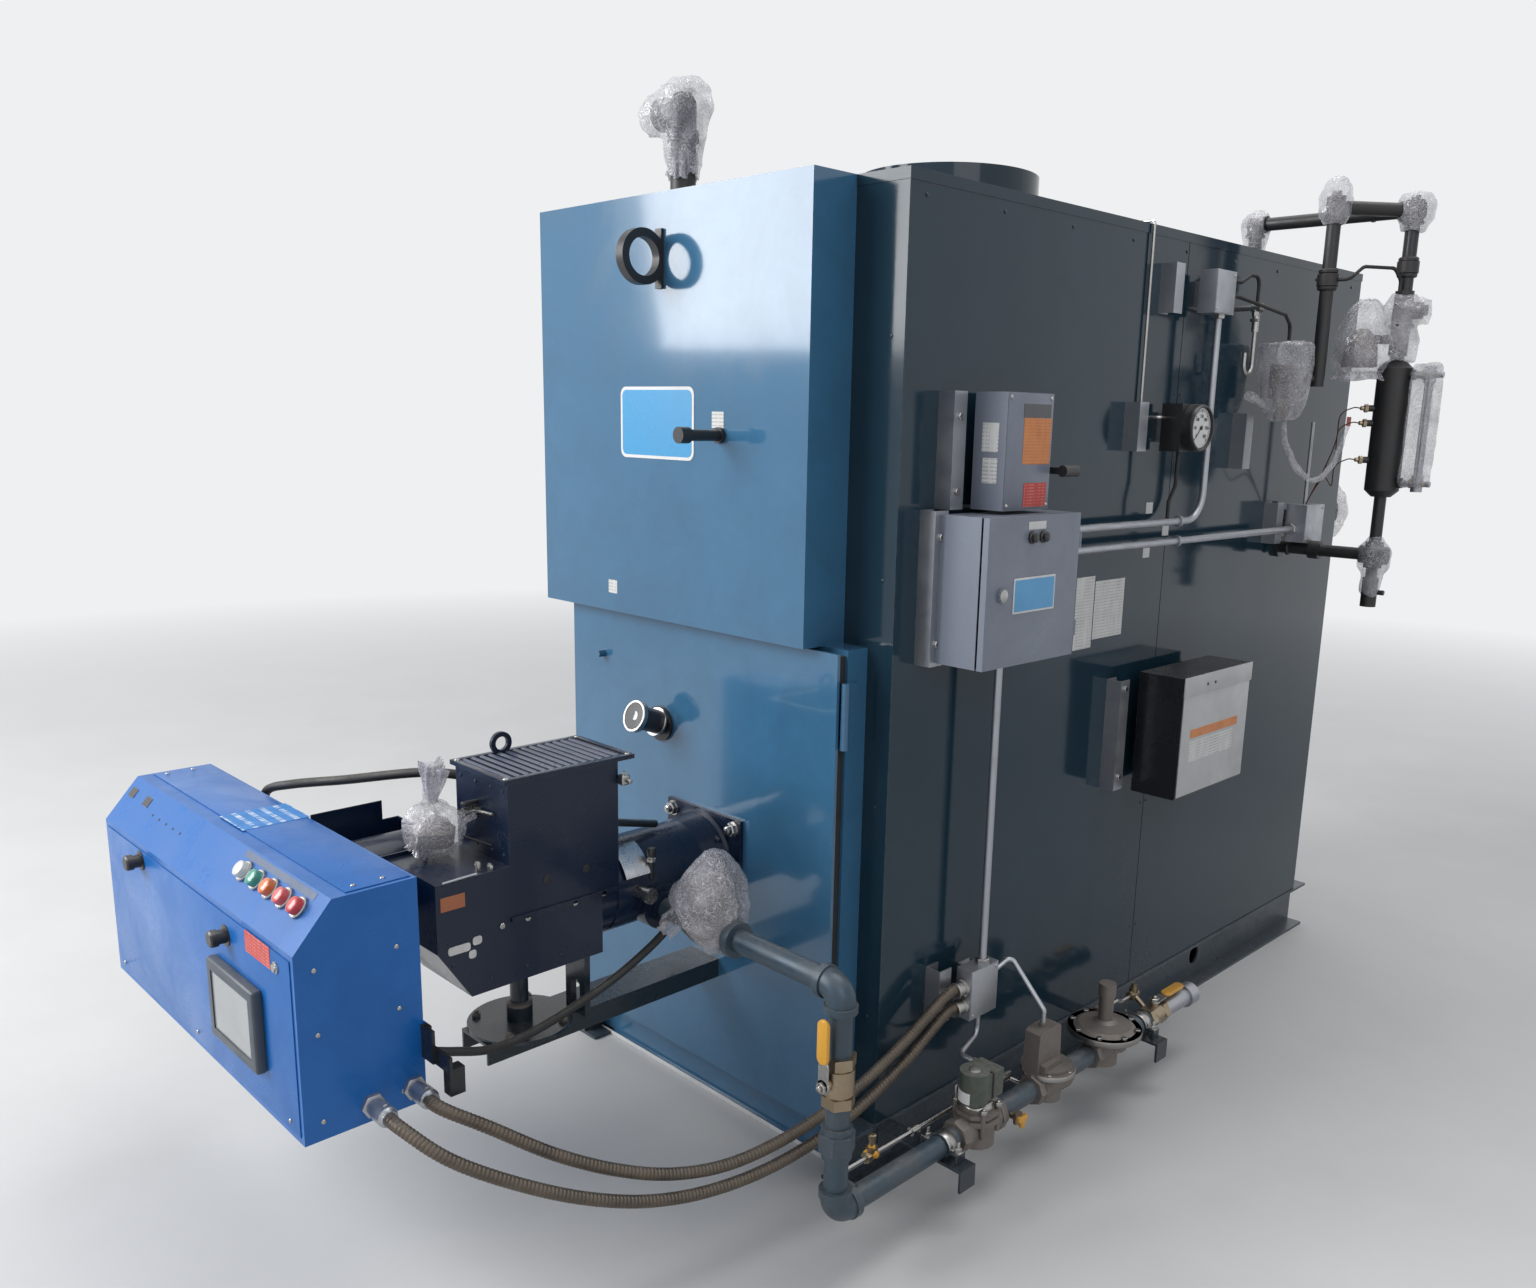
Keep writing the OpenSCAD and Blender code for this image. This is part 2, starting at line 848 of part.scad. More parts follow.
// long panel box with a sloped upper edge and its two conduit glands
module burner_cabinet() {
  color("RoyalBlue")
    translate([cab_x0, 0, 0])
      rotate([90, 0, 90])
        linear_extrude(cabinet_w)
          polygon([
            [cab_y0, cabinet_z], [cab_y1, cabinet_z], [cab_y1, cab_z1],
            [cab_y0 + cabinet_slope - 12, cab_z1], [cab_y0, cab_z1 - cabinet_slope]
          ]);
  color("DimGray") {
    rod_x(cab_x1 - 5, cab_x1 + gland_len, gland_y1, gland_z1, gland_r);
    rod_x(cab_x1 - 5, cab_x1 + gland_len, gland_y2, gland_z2, gland_r);
    rod_y(hose_exit_x, cab_y1 - 5, cab_y1 + gland_r, hose_exit_z, gland_r);
  }
  // stepped bracket left hanging at the rear corner
  color("Black") {
    box(cab_x1, cab_x1 + 42, cab_y1 - 6, cab_y1, cabinet_z + 90, cabinet_z + 155);
    box(cab_x1 + 10, cab_x1 + 92, cab_y1, cab_y1 + 6, cabinet_z + 88, cabinet_z + 120);
    box(cab_x1 + 68, cab_x1 + 92, cab_y1, cab_y1 + 30, cabinet_z + 44, cabinet_z + 96);
    box(cab_x1 - 10, cab_x1 + 20, cab_y1, cab_y1 + 6, cabinet_z + 88, cabinet_z + 155);
    // weld through the corner that ties the bracket to the box
    box(cab_x1 - 9, cab_x1 + 41, cab_y1 - 5, cab_y1 + 5, cabinet_z + 91, cabinet_z + 119);
  }
}

module cabinet_screen() {
  z0 = cabinet_z + screen_z;
  color("Gray")
    box(screen_x0, screen_x0 + screen_w, cab_y0 - screen_d, cab_y0, z0, z0 + screen_h);
}

// five indicator lights on the slope and two black turn knobs on the front
module cabinet_lights() {
  d = cabinet_slope - 12;
  a = atan2(cabinet_slope, d);
  color("OrangeRed")
    for (i = [0 : 4])
      translate([lamp_x + i * lamp_pitch, cab_y0 + 0.64 * d, cab_z1 - 0.36 * cabinet_slope])
        rotate([a, 0, 0])
          cylinder(r = lamp_r, h = 26);
  color("Black") {
    rod_y(knob_left_x, cab_y0 - 34, cab_y0, knob_left_z, 14);
    rod_y(knob_right_x, cab_y0 - 34, cab_y0, knob_right_z, 14);
  }
}

// open trough that carries the fan motor, between cabinet and burner
module fan_tray() {
  t = 3;
  low_z = tray_z1 - 42;
  color("MidnightBlue")
    difference() {
      box(tray_x0, air_x0, cab_y1, tray_y1, tray_z0, tray_z1);
      box(tray_x0 + t, air_x0 - t, cab_y1 + t, tray_y1 - t, tray_z0 + t, tray_z1 + 1);
      box(tray_x0 - 1, tray_x0 + t + e, tray_y1 - 37, tray_y1 + 1, low_z, tray_z1 + 1);
      box(tray_x0 + t, air_x0 + 1, cab_y1 - 1, tray_y1 + 1, low_z, tray_z1 + 1);
    }
  color("Black")
    rod_y(tray_x0 + 100, cab_y1 + 20, tray_y1 - 25, tray_z0 + t + motor_r - 1, motor_r);
}

// from the burner to the wrap, and on to the top elbow of the riser
module gas_pipe_upper() {
  rb = elbow_rb;
  band = 14;
  color("SlateGray") {
    rod_x(burner_inlet_x, wrap_x - 60, riser_y, upper_z, gas_r);
    rod_x(wrap_ring_x, gas_x - rb, riser_y, upper_z, gas_r);
    rod_x(wrap_ring_x, wrap_ring_x + 18, riser_y, upper_z, wrap_ring_r);
    rod_x(gas_x - rb - band, gas_x - rb, riser_y, upper_z, gas_r + 9);
    translate([gas_x - rb, riser_y, upper_z - rb])
      rotate([90, 0, 0])
        bend(rb, gas_r + 5);
    rod_z(gas_x, riser_y, upper_z - rb - band, upper_z - rb, gas_r + 9);
    rod_z(gas_x, riser_y, fb_z + fb_half, upper_z - rb, gas_r);
  }
}

// riser foot with its union, bottom elbow and the run beside the skid
module gas_pipe_main() {
  rb = elbow_rb;
  band = 16;
  y0 = riser_y + rb;
  color("SlateGray") {
    rod_z(gas_x, riser_y, gas_z + rb, fb_z - fb_half, gas_r);
    translate([gas_x, riser_y, union_z])
      cylinder(r = gas_r + 13, h = union_h, $fn = 6);
    rod_z(gas_x, riser_y, union_z - 14, union_z + union_h + 14, gas_r + 6);
    rod_z(gas_x, riser_y, gas_z + rb, gas_z + rb + band, gas_r + 9);
    translate([gas_x, y0, gas_z + rb])
      rotate([0, 90, 180])
        bend(rb, gas_r + 6);
    rod_y(gas_x, y0, y0 + band, gas_z, gas_r + 9);
    rod_y(gas_x, y0, valve_y - 60, gas_z, gas_r);
    rod_y(gas_x, valve_y + 60, act_y - 50, gas_z, gas_r);
    rod_y(gas_x, act_y + 50, disc_y - 50, gas_z, gas_r);
    rod_y(gas_x, disc_y + 50, rb_y - rb_half, gas_z, gas_r);
    rod_y(gas_x, disc_y + 112, disc_y + 146, gas_z, gas_r + 7);
    rod_x(pilot_x + 14, gas_x, pilot_y0, pilot_z, 8);
  }
}

// last pipe with the open end where the supply is screwed in
module gas_inlet_pipe() {
  color("LightGray")
    difference() {
      union() {
        rod_y(gas_x, rb_y + rb_half, gas_end, gas_z, gas_r);
        rod_y(gas_x, gas_end - gas_bore_len - 8, gas_end, gas_z, gas_r + 6);
      }
      rod_y(gas_x, gas_end - gas_bore_len, gas_end + 1, gas_z, gas_bore_r);
    }
}

// body about the local Z axis with a six sided collar at each end
module ball_valve(r, half) {
  collar = 22;
  translate([0, 0, -half])
    cylinder(r = r - 3, h = 2 * half);
  translate([0, 0, -half / 2])
    cylinder(r = r, h = half);
  for (z = [-half, half - collar])
    translate([0, 0, z])
      cylinder(r = r + 3, h = collar, $fn = 6);
}

// small cock standing on the pilot tube or the pipe side
module cock(x, y, z, high) {
  rod_y(x, y - 15, y + 15, z, 10);
  rod_z(x, y, z, z + high, 7);
  rod_z(x, y, z + 8, z + 20, 12);
}

// riser and rear ball valves, each stem the round pin that its lever turns on, and three cocks
module ball_valves() {
  color("Goldenrod") {
    translate([gas_x, riser_y, fb_z])
      ball_valve(fb_r, fb_half);
    rod_y(gas_x, riser_y - fb_r - lever_gap, riser_y, fb_z, 11);
    rod_y(gas_x, riser_y - fb_r - lever_gap - lever_t - 8, riser_y, fb_z, stem_r);
    translate([gas_x, rb_y, gas_z])
      rotate([90, 0, 0])
        ball_valve(rb_r, rb_half);
    rod_z(gas_x, rb_y, gas_z, gas_z + rb_r + lever_gap, 11);
    rod_z(gas_x, rb_y, gas_z, gas_z + rb_r + lever_gap + lever_t + 8, stem_r);
    cock(pilot_x, cock1_y, pilot_z, 38);
    cock(pilot_x, cock3_y, pilot_z + 20, 30);
    rod_between([gas_x, cock3_y, gas_z], [pilot_x, cock3_y, pilot_z + 20], 6);
    rod_x(gas_x + gas_r + fit, gas_x + 52, cock2_y, gas_z - 6, 7);
    rod_z(gas_x + 45, cock2_y, gas_z - 18, gas_z + 8, 10);
  }
}

// flat steel shank bored for the stem, and the wide round ended grip
module lever_plate() {
  shank = 24;
  grip = 28;
  grip_y = lever_len * 0.34;
  grip_t = 9;
  difference() {
    union() {
      cylinder(r = shank / 2 + 3, h = lever_t);
      translate([-shank / 2, 0, 0])
        cube([shank, grip_y + 4, lever_t]);
      for (y = [grip_y + grip / 2, lever_len - grip / 2])
        translate([0, y, 0])
          cylinder(r = grip / 2, h = grip_t);
      translate([-grip / 2, grip_y + grip / 2, 0])
        cube([grip, lever_len - grip_y - grip, grip_t]);
    }
    translate([0, 0, -1])
      cylinder(r = stem_r + run_fit, h = lever_t + 2);
  }
}

module valve_lever_front() {
  color("Gold")
    translate([gas_x, riser_y - fb_r - lever_gap, fb_z])
      rotate([90, 0, 0])
        lever_plate();
}

module valve_lever_rear() {
  color("Gold")
    translate([gas_x, rb_y, gas_z + rb_r + lever_gap])
      lever_plate();
}

// folded brackets from the skid with clamps round the pipe
module pipe_feet() {
  z1 = gas_z - gas_r - fit;
  x0 = hw + 4;
  x1 = gas_x + 70;
  lug = gas_r + 26;
  color("CadetBlue")
    for (y = [feet_y1, feet_y2]) {
      box(x0, x1, y - foot_w / 2, y + foot_w / 2, z1 - foot_t, z1);
      box(x1 - foot_t, x1, y - foot_w / 2, y + foot_w / 2, z1 - foot_w, z1);
      box(x0, x0 + foot_t, y - foot_w / 2, y + foot_w / 2, z1 - 1.5 * foot_w, z1);
      difference() {
        union() {
          rod_y(gas_x, y - 14, y + 14, gas_z, gas_r + 4);
          box(gas_x + gas_r - 2, gas_x + lug, y - 14, y + 14, gas_z - 4, gas_z + 1);
          box(gas_x - lug, gas_x - gas_r + 2, y - 14, y + 14, gas_z - 4, gas_z + 1);
          box(gas_x + lug - 5, gas_x + lug, y - 14, y + 14, z1 - e, gas_z);
          box(gas_x - lug, gas_x - lug + 5, y - 14, y + 14, z1 - e, gas_z);
        }
        rod_y(gas_x, y - 15, y + 15, gas_z, gas_r + fit);
      }
    }
}

// small tube with its fittings, inboard of the main pipe
module pilot_line() {
  x = pilot_x;
  z = pilot_z;
  y1 = jb_low_y1;
  color("Gray") {
    rod_y(x, pilot_y0 - 12, cock1_y - 15, z, 6);
    rod_x(x - 8, x + 14, pilot_y0, z, 11);
    rod_y(x, cock1_y + 15, y1, z, 6);
    rod_y(x, feet_y1 - 40, feet_y1 - 18, z, 10);
    rod_y(x, y1, y1 + 26, z, 11);
    rod_between([x, y1 + 13, z], [gas_x - gas_r - 6, y1 + 40, gas_z + 4], 6);
  }
  // sensing tube from the regulator to its cock
  color("Gray")
    pipe_path([
      [gas_x - 46, disc_y + 60, gas_z + 60], [gas_x - 46, disc_y + 130, gas_z + 60],
      [pilot_x, cock3_y - 60, pilot_z + 20], [pilot_x, cock3_y - 15, pilot_z + 20]
    ], thin_bend, 5);
}

// cast body under an eight sided bonnet flange with its corner studs
module shutoff_valve() {
  flange_r = 54;
  stud_off = 38;
  z = gas_z + 18;
  color("DarkGray") {
    rod_y(gas_x, valve_y - 60, valve_y + 60, gas_z, gas_r + 9);
    rod_z(gas_x, valve_y, gas_z - 38, z, 42);
    for (dz = [0, 16])
      translate([gas_x, valve_y, z + dz])
        rotate([0, 0, 22.5])
          cylinder(r = flange_r - dz / 4, h = dz == 0 ? 12 : 10, $fn = 8);
    rod_z(gas_x, valve_y, z, z + 34, 38);
    for (sx = [-1, 1], sy = [-1, 1])
      rod_z(gas_x + sx * stud_off, valve_y + sy * stud_off * 0.7, z - 26, z + 34, 6);
  }
}

// round ended coil case over the valve stem, with its cable boss
module solenoid_coil() {
  z = gas_z + 52;
  high = 84;
  color("DarkGreen") {
    rod_z(gas_x, valve_y, z, z + 14, 20);
    rod_z(gas_x, valve_y - 14, z + 12, z + high, 33);
    box(gas_x - 31, gas_x + 31, valve_y - 14, valve_y + 50, z + 16, z + high - 6);
    rod_x(gas_x - 39, gas_x, coil_y, coil_z, 9);
  }
}

// valve under a round flange and a tall off-centre case
module gas_actuator() {
  z = gas_z + 29;
  flange_r = 64;
  x0 = gas_x - 29;
  x1 = gas_x + 13;
  y0 = act_y - 64;
  y1 = act_y + 26;
  top = gas_z + 144;
  taper = 5;
  color("DarkGray") {
    rod_y(gas_x, act_y - 50, act_y + 50, gas_z, gas_r + 12);
    rod_z(gas_x, act_y, gas_z - 40, z, 34);
    rod_z(gas_x, act_y, z, z + 12, flange_r);
    rod_z(gas_x, act_y, z + 12, z + 20, flange_r - 10);
    translate([x0, 0, 0])
      rotate([90, 0, 90])
        linear_extrude(x1 - x0)
          polygon([
            [y0, z + 10], [y1 + taper, z + 10], [y1, top - 8], [y1 - 8, top],
            [y0 + taper + 10, top], [y0 + taper, top - 6]
          ]);
    box(x1 - 1, x1 + 14, y0 + 12, y1 - 10, z + 10, z + 34);
    rod_z((x0 + x1) / 2, act_y - 20, top - 1, top + 8, 9);
  }
}

// two plate diaphragm case with its spring tower and cap
module gas_regulator() {
  z = gas_z + 38;
  tower = 18;
  color("DarkGray") {
    rod_y(gas_x, disc_y - 50, disc_y + 50, gas_z, gas_r + 11);
    rod_z(gas_x, disc_y, gas_z - 40, z, 36);
    translate([gas_x, disc_y, z])
      rotate_extrude()
        polygon([
          [0, -10], [disc_r - 34, -10], [disc_r - 18, 2], [disc_r, 2], [disc_r, 16],
          [disc_r - 14, 16], [disc_r - 26, 24], [tower + 12, 30], [tower, 36], [0, 36]
        ]);
    rod_z(gas_x, disc_y, z + 34, gas_z + 158, tower);
    rod_z(gas_x, disc_y, gas_z + 136, gas_z + 168, tower + 3);
    rod_z(gas_x - 46, disc_y + 42, z + 14, z + 34, 8);
    rod_y(gas_x - 46, disc_y + 42, disc_y + 60, gas_z + 60, 7);
  }
}

// point at u along a smooth line through the route points, u from 0 to 1
function along(p, u) =
  let (
    m = len(p) - 1,
    i = min(floor(u * m), m - 1),
    t = u * m - i,
    a = p[i],
    b = p[i + 1],
    da = i == 0 ? b - a : (b - p[i - 1]) / 2,
    db = i == m - 1 ? b - a : (p[i + 2] - a) / 2
  )
  a * (2 * t * t * t - 3 * t * t + 1) + b * (3 * t * t - 2 * t * t * t)
  + da * (t * t * t - 2 * t * t + t) + db * (t * t * t - t * t);

// round tube of the given number of sides, with one ring at each of n + 1 points
module cord(route, n, r, sides) {
  pts = [for (k = [0 : n]) along(route, k / n)];
  tan = [for (k = [0 : n])
    unit(k == 0 ? route[1] - route[0]
       : k == n ? route[len(route) - 1] - route[len(route) - 2]
       : pts[k + 1] - pts[k - 1])];
  rings = [for (k = [0 : n])
    let (s = unit(cross(tan[k], [0, 0, 1])), w = cross(s, tan[k]))
      for (j = [0 : sides - 1])
        pts[k] + r * (cos(360 * j / sides) * s + sin(360 * j / sides) * w)];
  skin = [for (k = [0 : n - 1], j = [0 : sides - 1])
    let (i = (j + 1) % sides)
      [k * sides + j, (k + 1) * sides + j, (k + 1) * sides + i, k * sides + i]];
  caps = [
    [for (j = [0 : sides - 1]) j],
    [for (j = [sides - 1 : -1 : 0]) n * sides + j]
  ];
  polyhedron(points = rings, faces = concat(skin, caps), convexity = 6);
}

module flex_conduit_upper() {
  color("DimGray")
    cord(route_upper, 24, flex_r, 12);
}

module flex_conduit_lower() {
  color("DimGray")
    cord(route_lower, 25, flex_r, 12);
}

module gas_valve_hose() {
  color("Black")
    cord(route_hose, 14, hose_r, 10);
}

module switch_hose() {
  color("Black")
    cord(route_switch, 12, switch_hose_r, 10);
}

// box that stands on the channels
module strut_box(y0, y1, z0, z1, d) {
  box(face_x, face_x + d, y0, y1, z0, z1);
}

module junction_boxes() {
  color("Silver") {
    strut_box(jb_low_y0, jb_low_y1, jb_low_z0, jb_low_z1, jb_low_d);
    strut_box(jb_up_y0, jb_up_y1, jb_up_z0, jb_up_z1, jb_up_d);
    strut_box(jb_rear_y0, jb_rear_y1, jb_rear_z0, jb_rear_z1, jb_rear_d);
  }
}

module wall_struts() {
  color("LightGray") {
    strut_pair(jb_low_y0, jb_low_y1, jb_low_z0, jb_low_z1, 61, 5);
    strut_pair(jb_up_y0, jb_up_y1, jb_up_z0, jb_up_z1, 116, 7);
    strut_pair(jb_rear_y0, jb_rear_y1, jb_rear_z0, jb_rear_z1, 58, 5);
    strut_pair(sb_y0, sb_y1, sb_z0, sb_z1, 68, 0);
    strut_pair(en_y0, en_y1, en_z0, en_z1, 20, 7);
    strut_pair(doc_y0, doc_y1, doc_z0, doc_z1, 88, -15);
    strut_pair(gauge_y0, gauge_y1, gauge_z - gauge_r, gauge_z + gauge_r, 104, 1);
    strut(control_y - 95, run_z_top - 130, run_z_top + 18);
  }
}

// rigid conduits between the boxes, and two thin bent ones down to the gas train
module conduit_runs() {
  x = run_x;
  low_y = jb_low_y0 + 66;
  rear_y = jb_rear_y0 + 71;
  case_top = gas_z + 152;
  color("LightGray") {
    rod_y(x, en_y1, run_y_up - run_bend, run_z_a, run_r);
    translate([x, run_y_up - run_bend, run_z_a + run_bend])
      rotate([0, 90, 0])
        bend(run_bend, run_r);
    rod_z(x, run_y_up, run_z_a + run_bend, jb_up_z0, run_r);
    rod_y(x, en_y1, jb_rear_y0, run_z_b, run_r);
    rod_z(x, low_y, jb_low_z1, en_z0, run_r);
    for (z = [run_z_a, run_z_b])
      rod_y(x, clip_y, clip_y + 10, z, run_r + 5);
    rod_z(x, rear_y, jb_rear_z1, run_z_top, 5);
  }
  color("LightGray") {
    pipe_path([
      [x, jb_low_y1, jb_low_z1 - 34], [x, jb_low_y1 + 24, jb_low_z1 - 34],
      [x + 12, jb_low_y1 + 61, jb_low_z1 - 12], [gas_x - 8, act_y - 20, case_top + 30],
      [gas_x - 8, act_y - 20, case_top]
    ], thin_bend, thin_r);
    pipe_path([
      [x, jb_low_y1 - 40, jb_low_z0], [x, jb_low_y1 - 40, coil_z + 6],
      [x + 28, coil_y, coil_z], [gas_x - 39, coil_y, coil_z]
    ], thin_bend + 8, thin_r);
  }
}

// black cables between the upper boxes, the controls and the column
module control_cables() {
  top_z = column_top + 178;
  control_top = pipe1_foot + 118;
  color("Black") {
    pipe_path([
      [siphon_x, jb_up_y1, jb_up_z1 - 18], [siphon_x, jb_up_y1 + 62, jb_up_z1 - 18],
      [siphon_x, siphon_y - 47, jb_up_z1 + 4], [siphon_x, siphon_y, jb_up_z1 + 4],
      [siphon_x, siphon_y, siphon_z + 12 + fit]
    ], cable_bend, cable_r);
    pipe_path([
      [siphon_x + 5, jb_up_y1, jb_up_z0 + 48], [siphon_x + 5, jb_up_y1 + 42, jb_up_z0 + 48],
      [siphon_x + 32, siphon_y - 57, jb_up_z0 + 33], [siphon_x + 34, control_y - 60, jb_up_z0 + 18],
      [control_x + 2, control_y, pipe1_foot + 156], [control_x + 2, control_y, control_top + fit]
    ], cable_bend, cable_r);
    pipe_path([
      [pipe1_x + pipe_r + 10 + fit, pipe1_y, union1_z], [pipe1_x + 58, pipe1_y, union1_z],
      [pipe1_x + 78, pipe1_y + 35, union1_z + 34], [column_x - 12, column_y - 56, union1_z + 34],
      [column_x - 4, column_y - 26, union1_z + 4], [column_x - 4, column_y - 26, top_z]
    ], cable_bend, cable_r);
    pipe_path([
      [face_x + 25, gauge_y - 5, gauge_z - gauge_r], [face_x + 25, gauge_y - 5, run_z_a + 90],
      [run_x, gauge_y - 25, run_z_a + 50], [run_x, gauge_y - 25, run_z_a + run_r + fit]
    ], cable_bend, cable_r);
  }
}

module switch_box() {
  base = 8;
  color("Gray")
    strut_box(sb_y0, sb_y1, sb_z0, sb_z1, sb_d);
  color("Black") {
    box(face_x + 20, face_x + sb_d - 14, sb_y1, sb_y1 + base, sb_z0 + 40, sb_z1 - 90);
    rod_y(sl_x, sb_y1, sb_y1 + 30, sl_z, sl_pin_r);
  }
}

// handle with a round knob, turning on its pin
module switch_lever() {
  y0 = sb_y1 + 14;
  reach = 52;
  t = 10;
  color("Black")
    difference() {
      union() {
        rod_y(sl_x, y0, y0 + t, sl_z, 15);
        box(sl_x, sl_x + reach, y0, y0 + t, sl_z - 7, sl_z + 7);
        rod_y(sl_x + reach, y0, y0 + reach, sl_z, 12);
      }
      rod_y(sl_x, y0 - 1, y0 + t + 1, sl_z, sl_pin_r + run_fit);
    }
}

// open fronted box with two hinge knuckles and their pins
module enclosure_body() {
  x1 = en_front - en_door_t - door_gap;
  back = 30;
  color("Gray") {
    difference() {
      box(face_x, x1, en_y0, en_y1, en_z0, en_z1);
      box(face_x + back, x1 + 1, en_y0 + en_t, en_y1 - en_t, en_z0 + en_t, en_z1 - en_t);
    }
    for (z = [en_z0 + 40, en_z1 - 40 - hinge_h]) {
      rod_z(hinge_x, hinge_y, z, z + hinge_h, hinge_pin_r);
      rod_z(hinge_x, hinge_y, z, z + hinge_leaf, hinge_r);
      box(x1 - 24, hinge_x, hinge_y - 2, hinge_y + 2, z, z + hinge_leaf);
      box(x1 - 24, x1 - 10, en_y1 - e, hinge_y + 2, z, z + hinge_leaf);
    }
  }
}

module enclosure_door() {
  x0 = en_front - en_door_t;
  knuckle = hinge_h - hinge_leaf - 3;
  color("Gray")
    difference() {
      union() {
        box(x0, en_front, en_y0, en_y1, en_z0, en_z1);
        for (z = [en_z0 + 40, en_z1 - 40 - hinge_h]) {
          rod_z(hinge_x, hinge_y, z + hinge_leaf + 1, z + hinge_leaf + 1 + knuckle, hinge_r);
          box(hinge_x - 2, hinge_x + 2, en_y1 - 4, hinge_y,
              z + hinge_leaf + 1, z + hinge_leaf + 1 + knuckle);
        }
      }
      for (z = [en_z0 + 40, en_z1 - 40 - hinge_h])
        rod_z(hinge_x, hinge_y, z, z + hinge_h + 1, hinge_pin_r + run_fit);
    }
  color("Gray")
    rod_x(en_front, en_front + 6, lock_y, lock_z, 15);
}

// closed box with a flap front
module document_box() {
  x1 = face_x + doc_d;
  color("Silver") {
    box(face_x, x1, doc_y0, doc_y1, doc_z0, doc_z1);
    box(x1, x1 + 3, doc_y0, doc_y1, doc_z0 + 4, doc_z1 + 2);
  }
}

// dial gauge on its box
module pressure_gauge() {
  color("DimGray") {
    box(face_x, face_x + gauge_d, gauge_y0, gauge_y1, gauge_z - gauge_r, gauge_z + gauge_r);
    rod_x(face_x + gauge_d, face_x + gauge_d + 18, gauge_y, gauge_z, gauge_r);
  }
}

// siphon with its cock, and the capillary from the jacket top to the gauge
module pressure_piping() {
  x = siphon_x;
  y = siphon_y;
  z = siphon_z;
  loop_z = z - siphon_drop - siphon_loop;
  stand_off = 2.5;
  cap_x = hw + cap_t + cap_tube_r + stand_off;
  top_z = jacket_top + cap_tube_r + stand_off;
  color("Gray") {
    rod_x(hw, x, y, z, siphon_tube + 2);
    rod_x(x - 12, x + 14, y, z, 12);
    rod_z(x, y, z - 60, z, siphon_tube + 4);
    pipe_path([
      [x, y, z - 59], [x, y, loop_z], [x, y - 2 * siphon_loop, loop_z],
      [x, y - 2 * siphon_loop, loop_z + 52]
    ], siphon_loop, siphon_tube);
  }
  color("Gray")
    pipe_path([
      [hw - 70, cap_tube_y, top_z], [cap_x, cap_tube_y, top_z], [cap_x, cap_tube_y, cap_tube_z],
      [face_x + 20, cap_tube_y, cap_tube_z], [face_x + 20, gauge_y0, cap_tube_z]
    ], 8, cap_tube_r);
}

// level rod from one point to another at the same height
module rod_to(x0, y0, x1, y1, z, r) {
  translate([x0, y0, z])
    rotate([0, 90, atan2(y1 - y0, x1 - x0)])
      cylinder(r = r, h = norm([x1 - x0, y1 - y0]));
}

// the steam side pipes above the column, grown by g for the bores of the wraps
module upper_pipes(g) {
  r = pipe_r + g;
  rod_z(outlet_x, column_y, jacket_top, tee_z - tee_half, r);
  rod_x(outlet_x + tee_half, column_x - tee_half, column_y, tee_z, r);
  rod_z(column_x, column_y, column_top, tee_z - tee_half, r);
  rod_to(pipe1_x + 20, pipe1_y + 24, column_x - 22, column_y - 27, tee_z, r);
  rod_z(pipe1_x, pipe1_y, pipe1_foot, tee_z - tee_half, r);
  rod_to(pipe1_x, pipe1_y, control_x + 20, control_y + 34, pipe1_foot + 20, pipe_r / 2 + g);
  rod_to(column_x, column_y, float_x + 25, float_y + 22, float_z, pipe_r * 2 / 3 + g);
}

// union nut with its shoulder, centred on z
module pipe_union(x, y, z) {
  rod_z(x, y, z - 15, z + 15, pipe_r + 10);
  rod_z(x, y, z - 23, z + 23, pipe_r + 5);
}

// column pipes with their unions, the cross below the column, its drain and the jacket tapping
module column_piping() {
  x = column_x;
  y = column_y;
  r = pipe_r;
  color("DimGray") {
    upper_pipes(0);
    pipe_union(x, y, union_top_z);
    pipe_union(pipe1_x, pipe1_y, union1_z);
    rod_z(outlet_x, y, jacket_top, jacket_top + 14, r + 12);
  }
  color("DimGray") {
    rod_z(x, y, cross_z + 20, column_foot, r - 2);
    rod_z(x, y, cross_z - 36, cross_z + 36, r + 6);
    rod_x(hw, x, y, cross_z, r - 1);
    rod_x(x - 36, x + 37, y, cross_z, r + 7);
    rod_x(hw, hw + 14, y, cross_z, r + 12);
    rod_x(hw + 100, hw + 130, y, cross_z, r + 8);
    rod_z(x, y, cross_z - 90, cross_z - 20, r - 3);
    rod_z(x, y, cross_z - 146, cross_z - 64, r + 3);
    rod_x(x, x + 40, y, cross_z - 104, 7);
  }
}

// chamber with coned ends, bosses for the glass and three probe fittings
module water_column() {
  x = column_x;
  foot_r = 26;
  color("Black") {
    rod_z(x, column_y, column_foot + column_cone, column_top - column_cone, column_r);
    translate([x, column_y, column_foot])
      cylinder(r1 = foot_r, r2 = column_r, h = column_cone);
    translate([x, column_y, column_top - column_cone])
      cylinder(r1 = column_r, r2 = foot_r, h = column_cone);
  }
  color("Black")
    for (z = [glass_z0, glass_z1])
      rod_x(x, x + column_r + 8, column_y, z, 14);
  color("Black")
    for (z = [column_foot + 100, column_foot + 200, column_foot + 240])
      translate([x, column_y, z])
        rotate([0, -90, 35])
          cylinder(r = 9, h = column_r + 24);
}

// sight glass between two cocks with its guard rods
module gauge_glass() {
  x = column_x + glass_off;
  y = column_y;
  z0 = glass_z0;
  z1 = glass_z1;
  cock_h = 22;
  guard = 25;
  color("LightGray") {
    rod_z(x, y, z0 + 14, z1 - 14, 8);
    for (z = [z0, z1]) {
      rod_x(column_x + column_r + 8, x, y, z, 10);
      rod_z(x, y, z - cock_h, z + cock_h, 15);
      rod_x(x - 4, x + 34, y, z, 8);
      rod_y(x, y - guard - 5, y + guard + 5, z, 6);
    }
    for (s = [-1, 1])
      rod_z(x, y + s * guard, z0, z1, 3);
  }
}

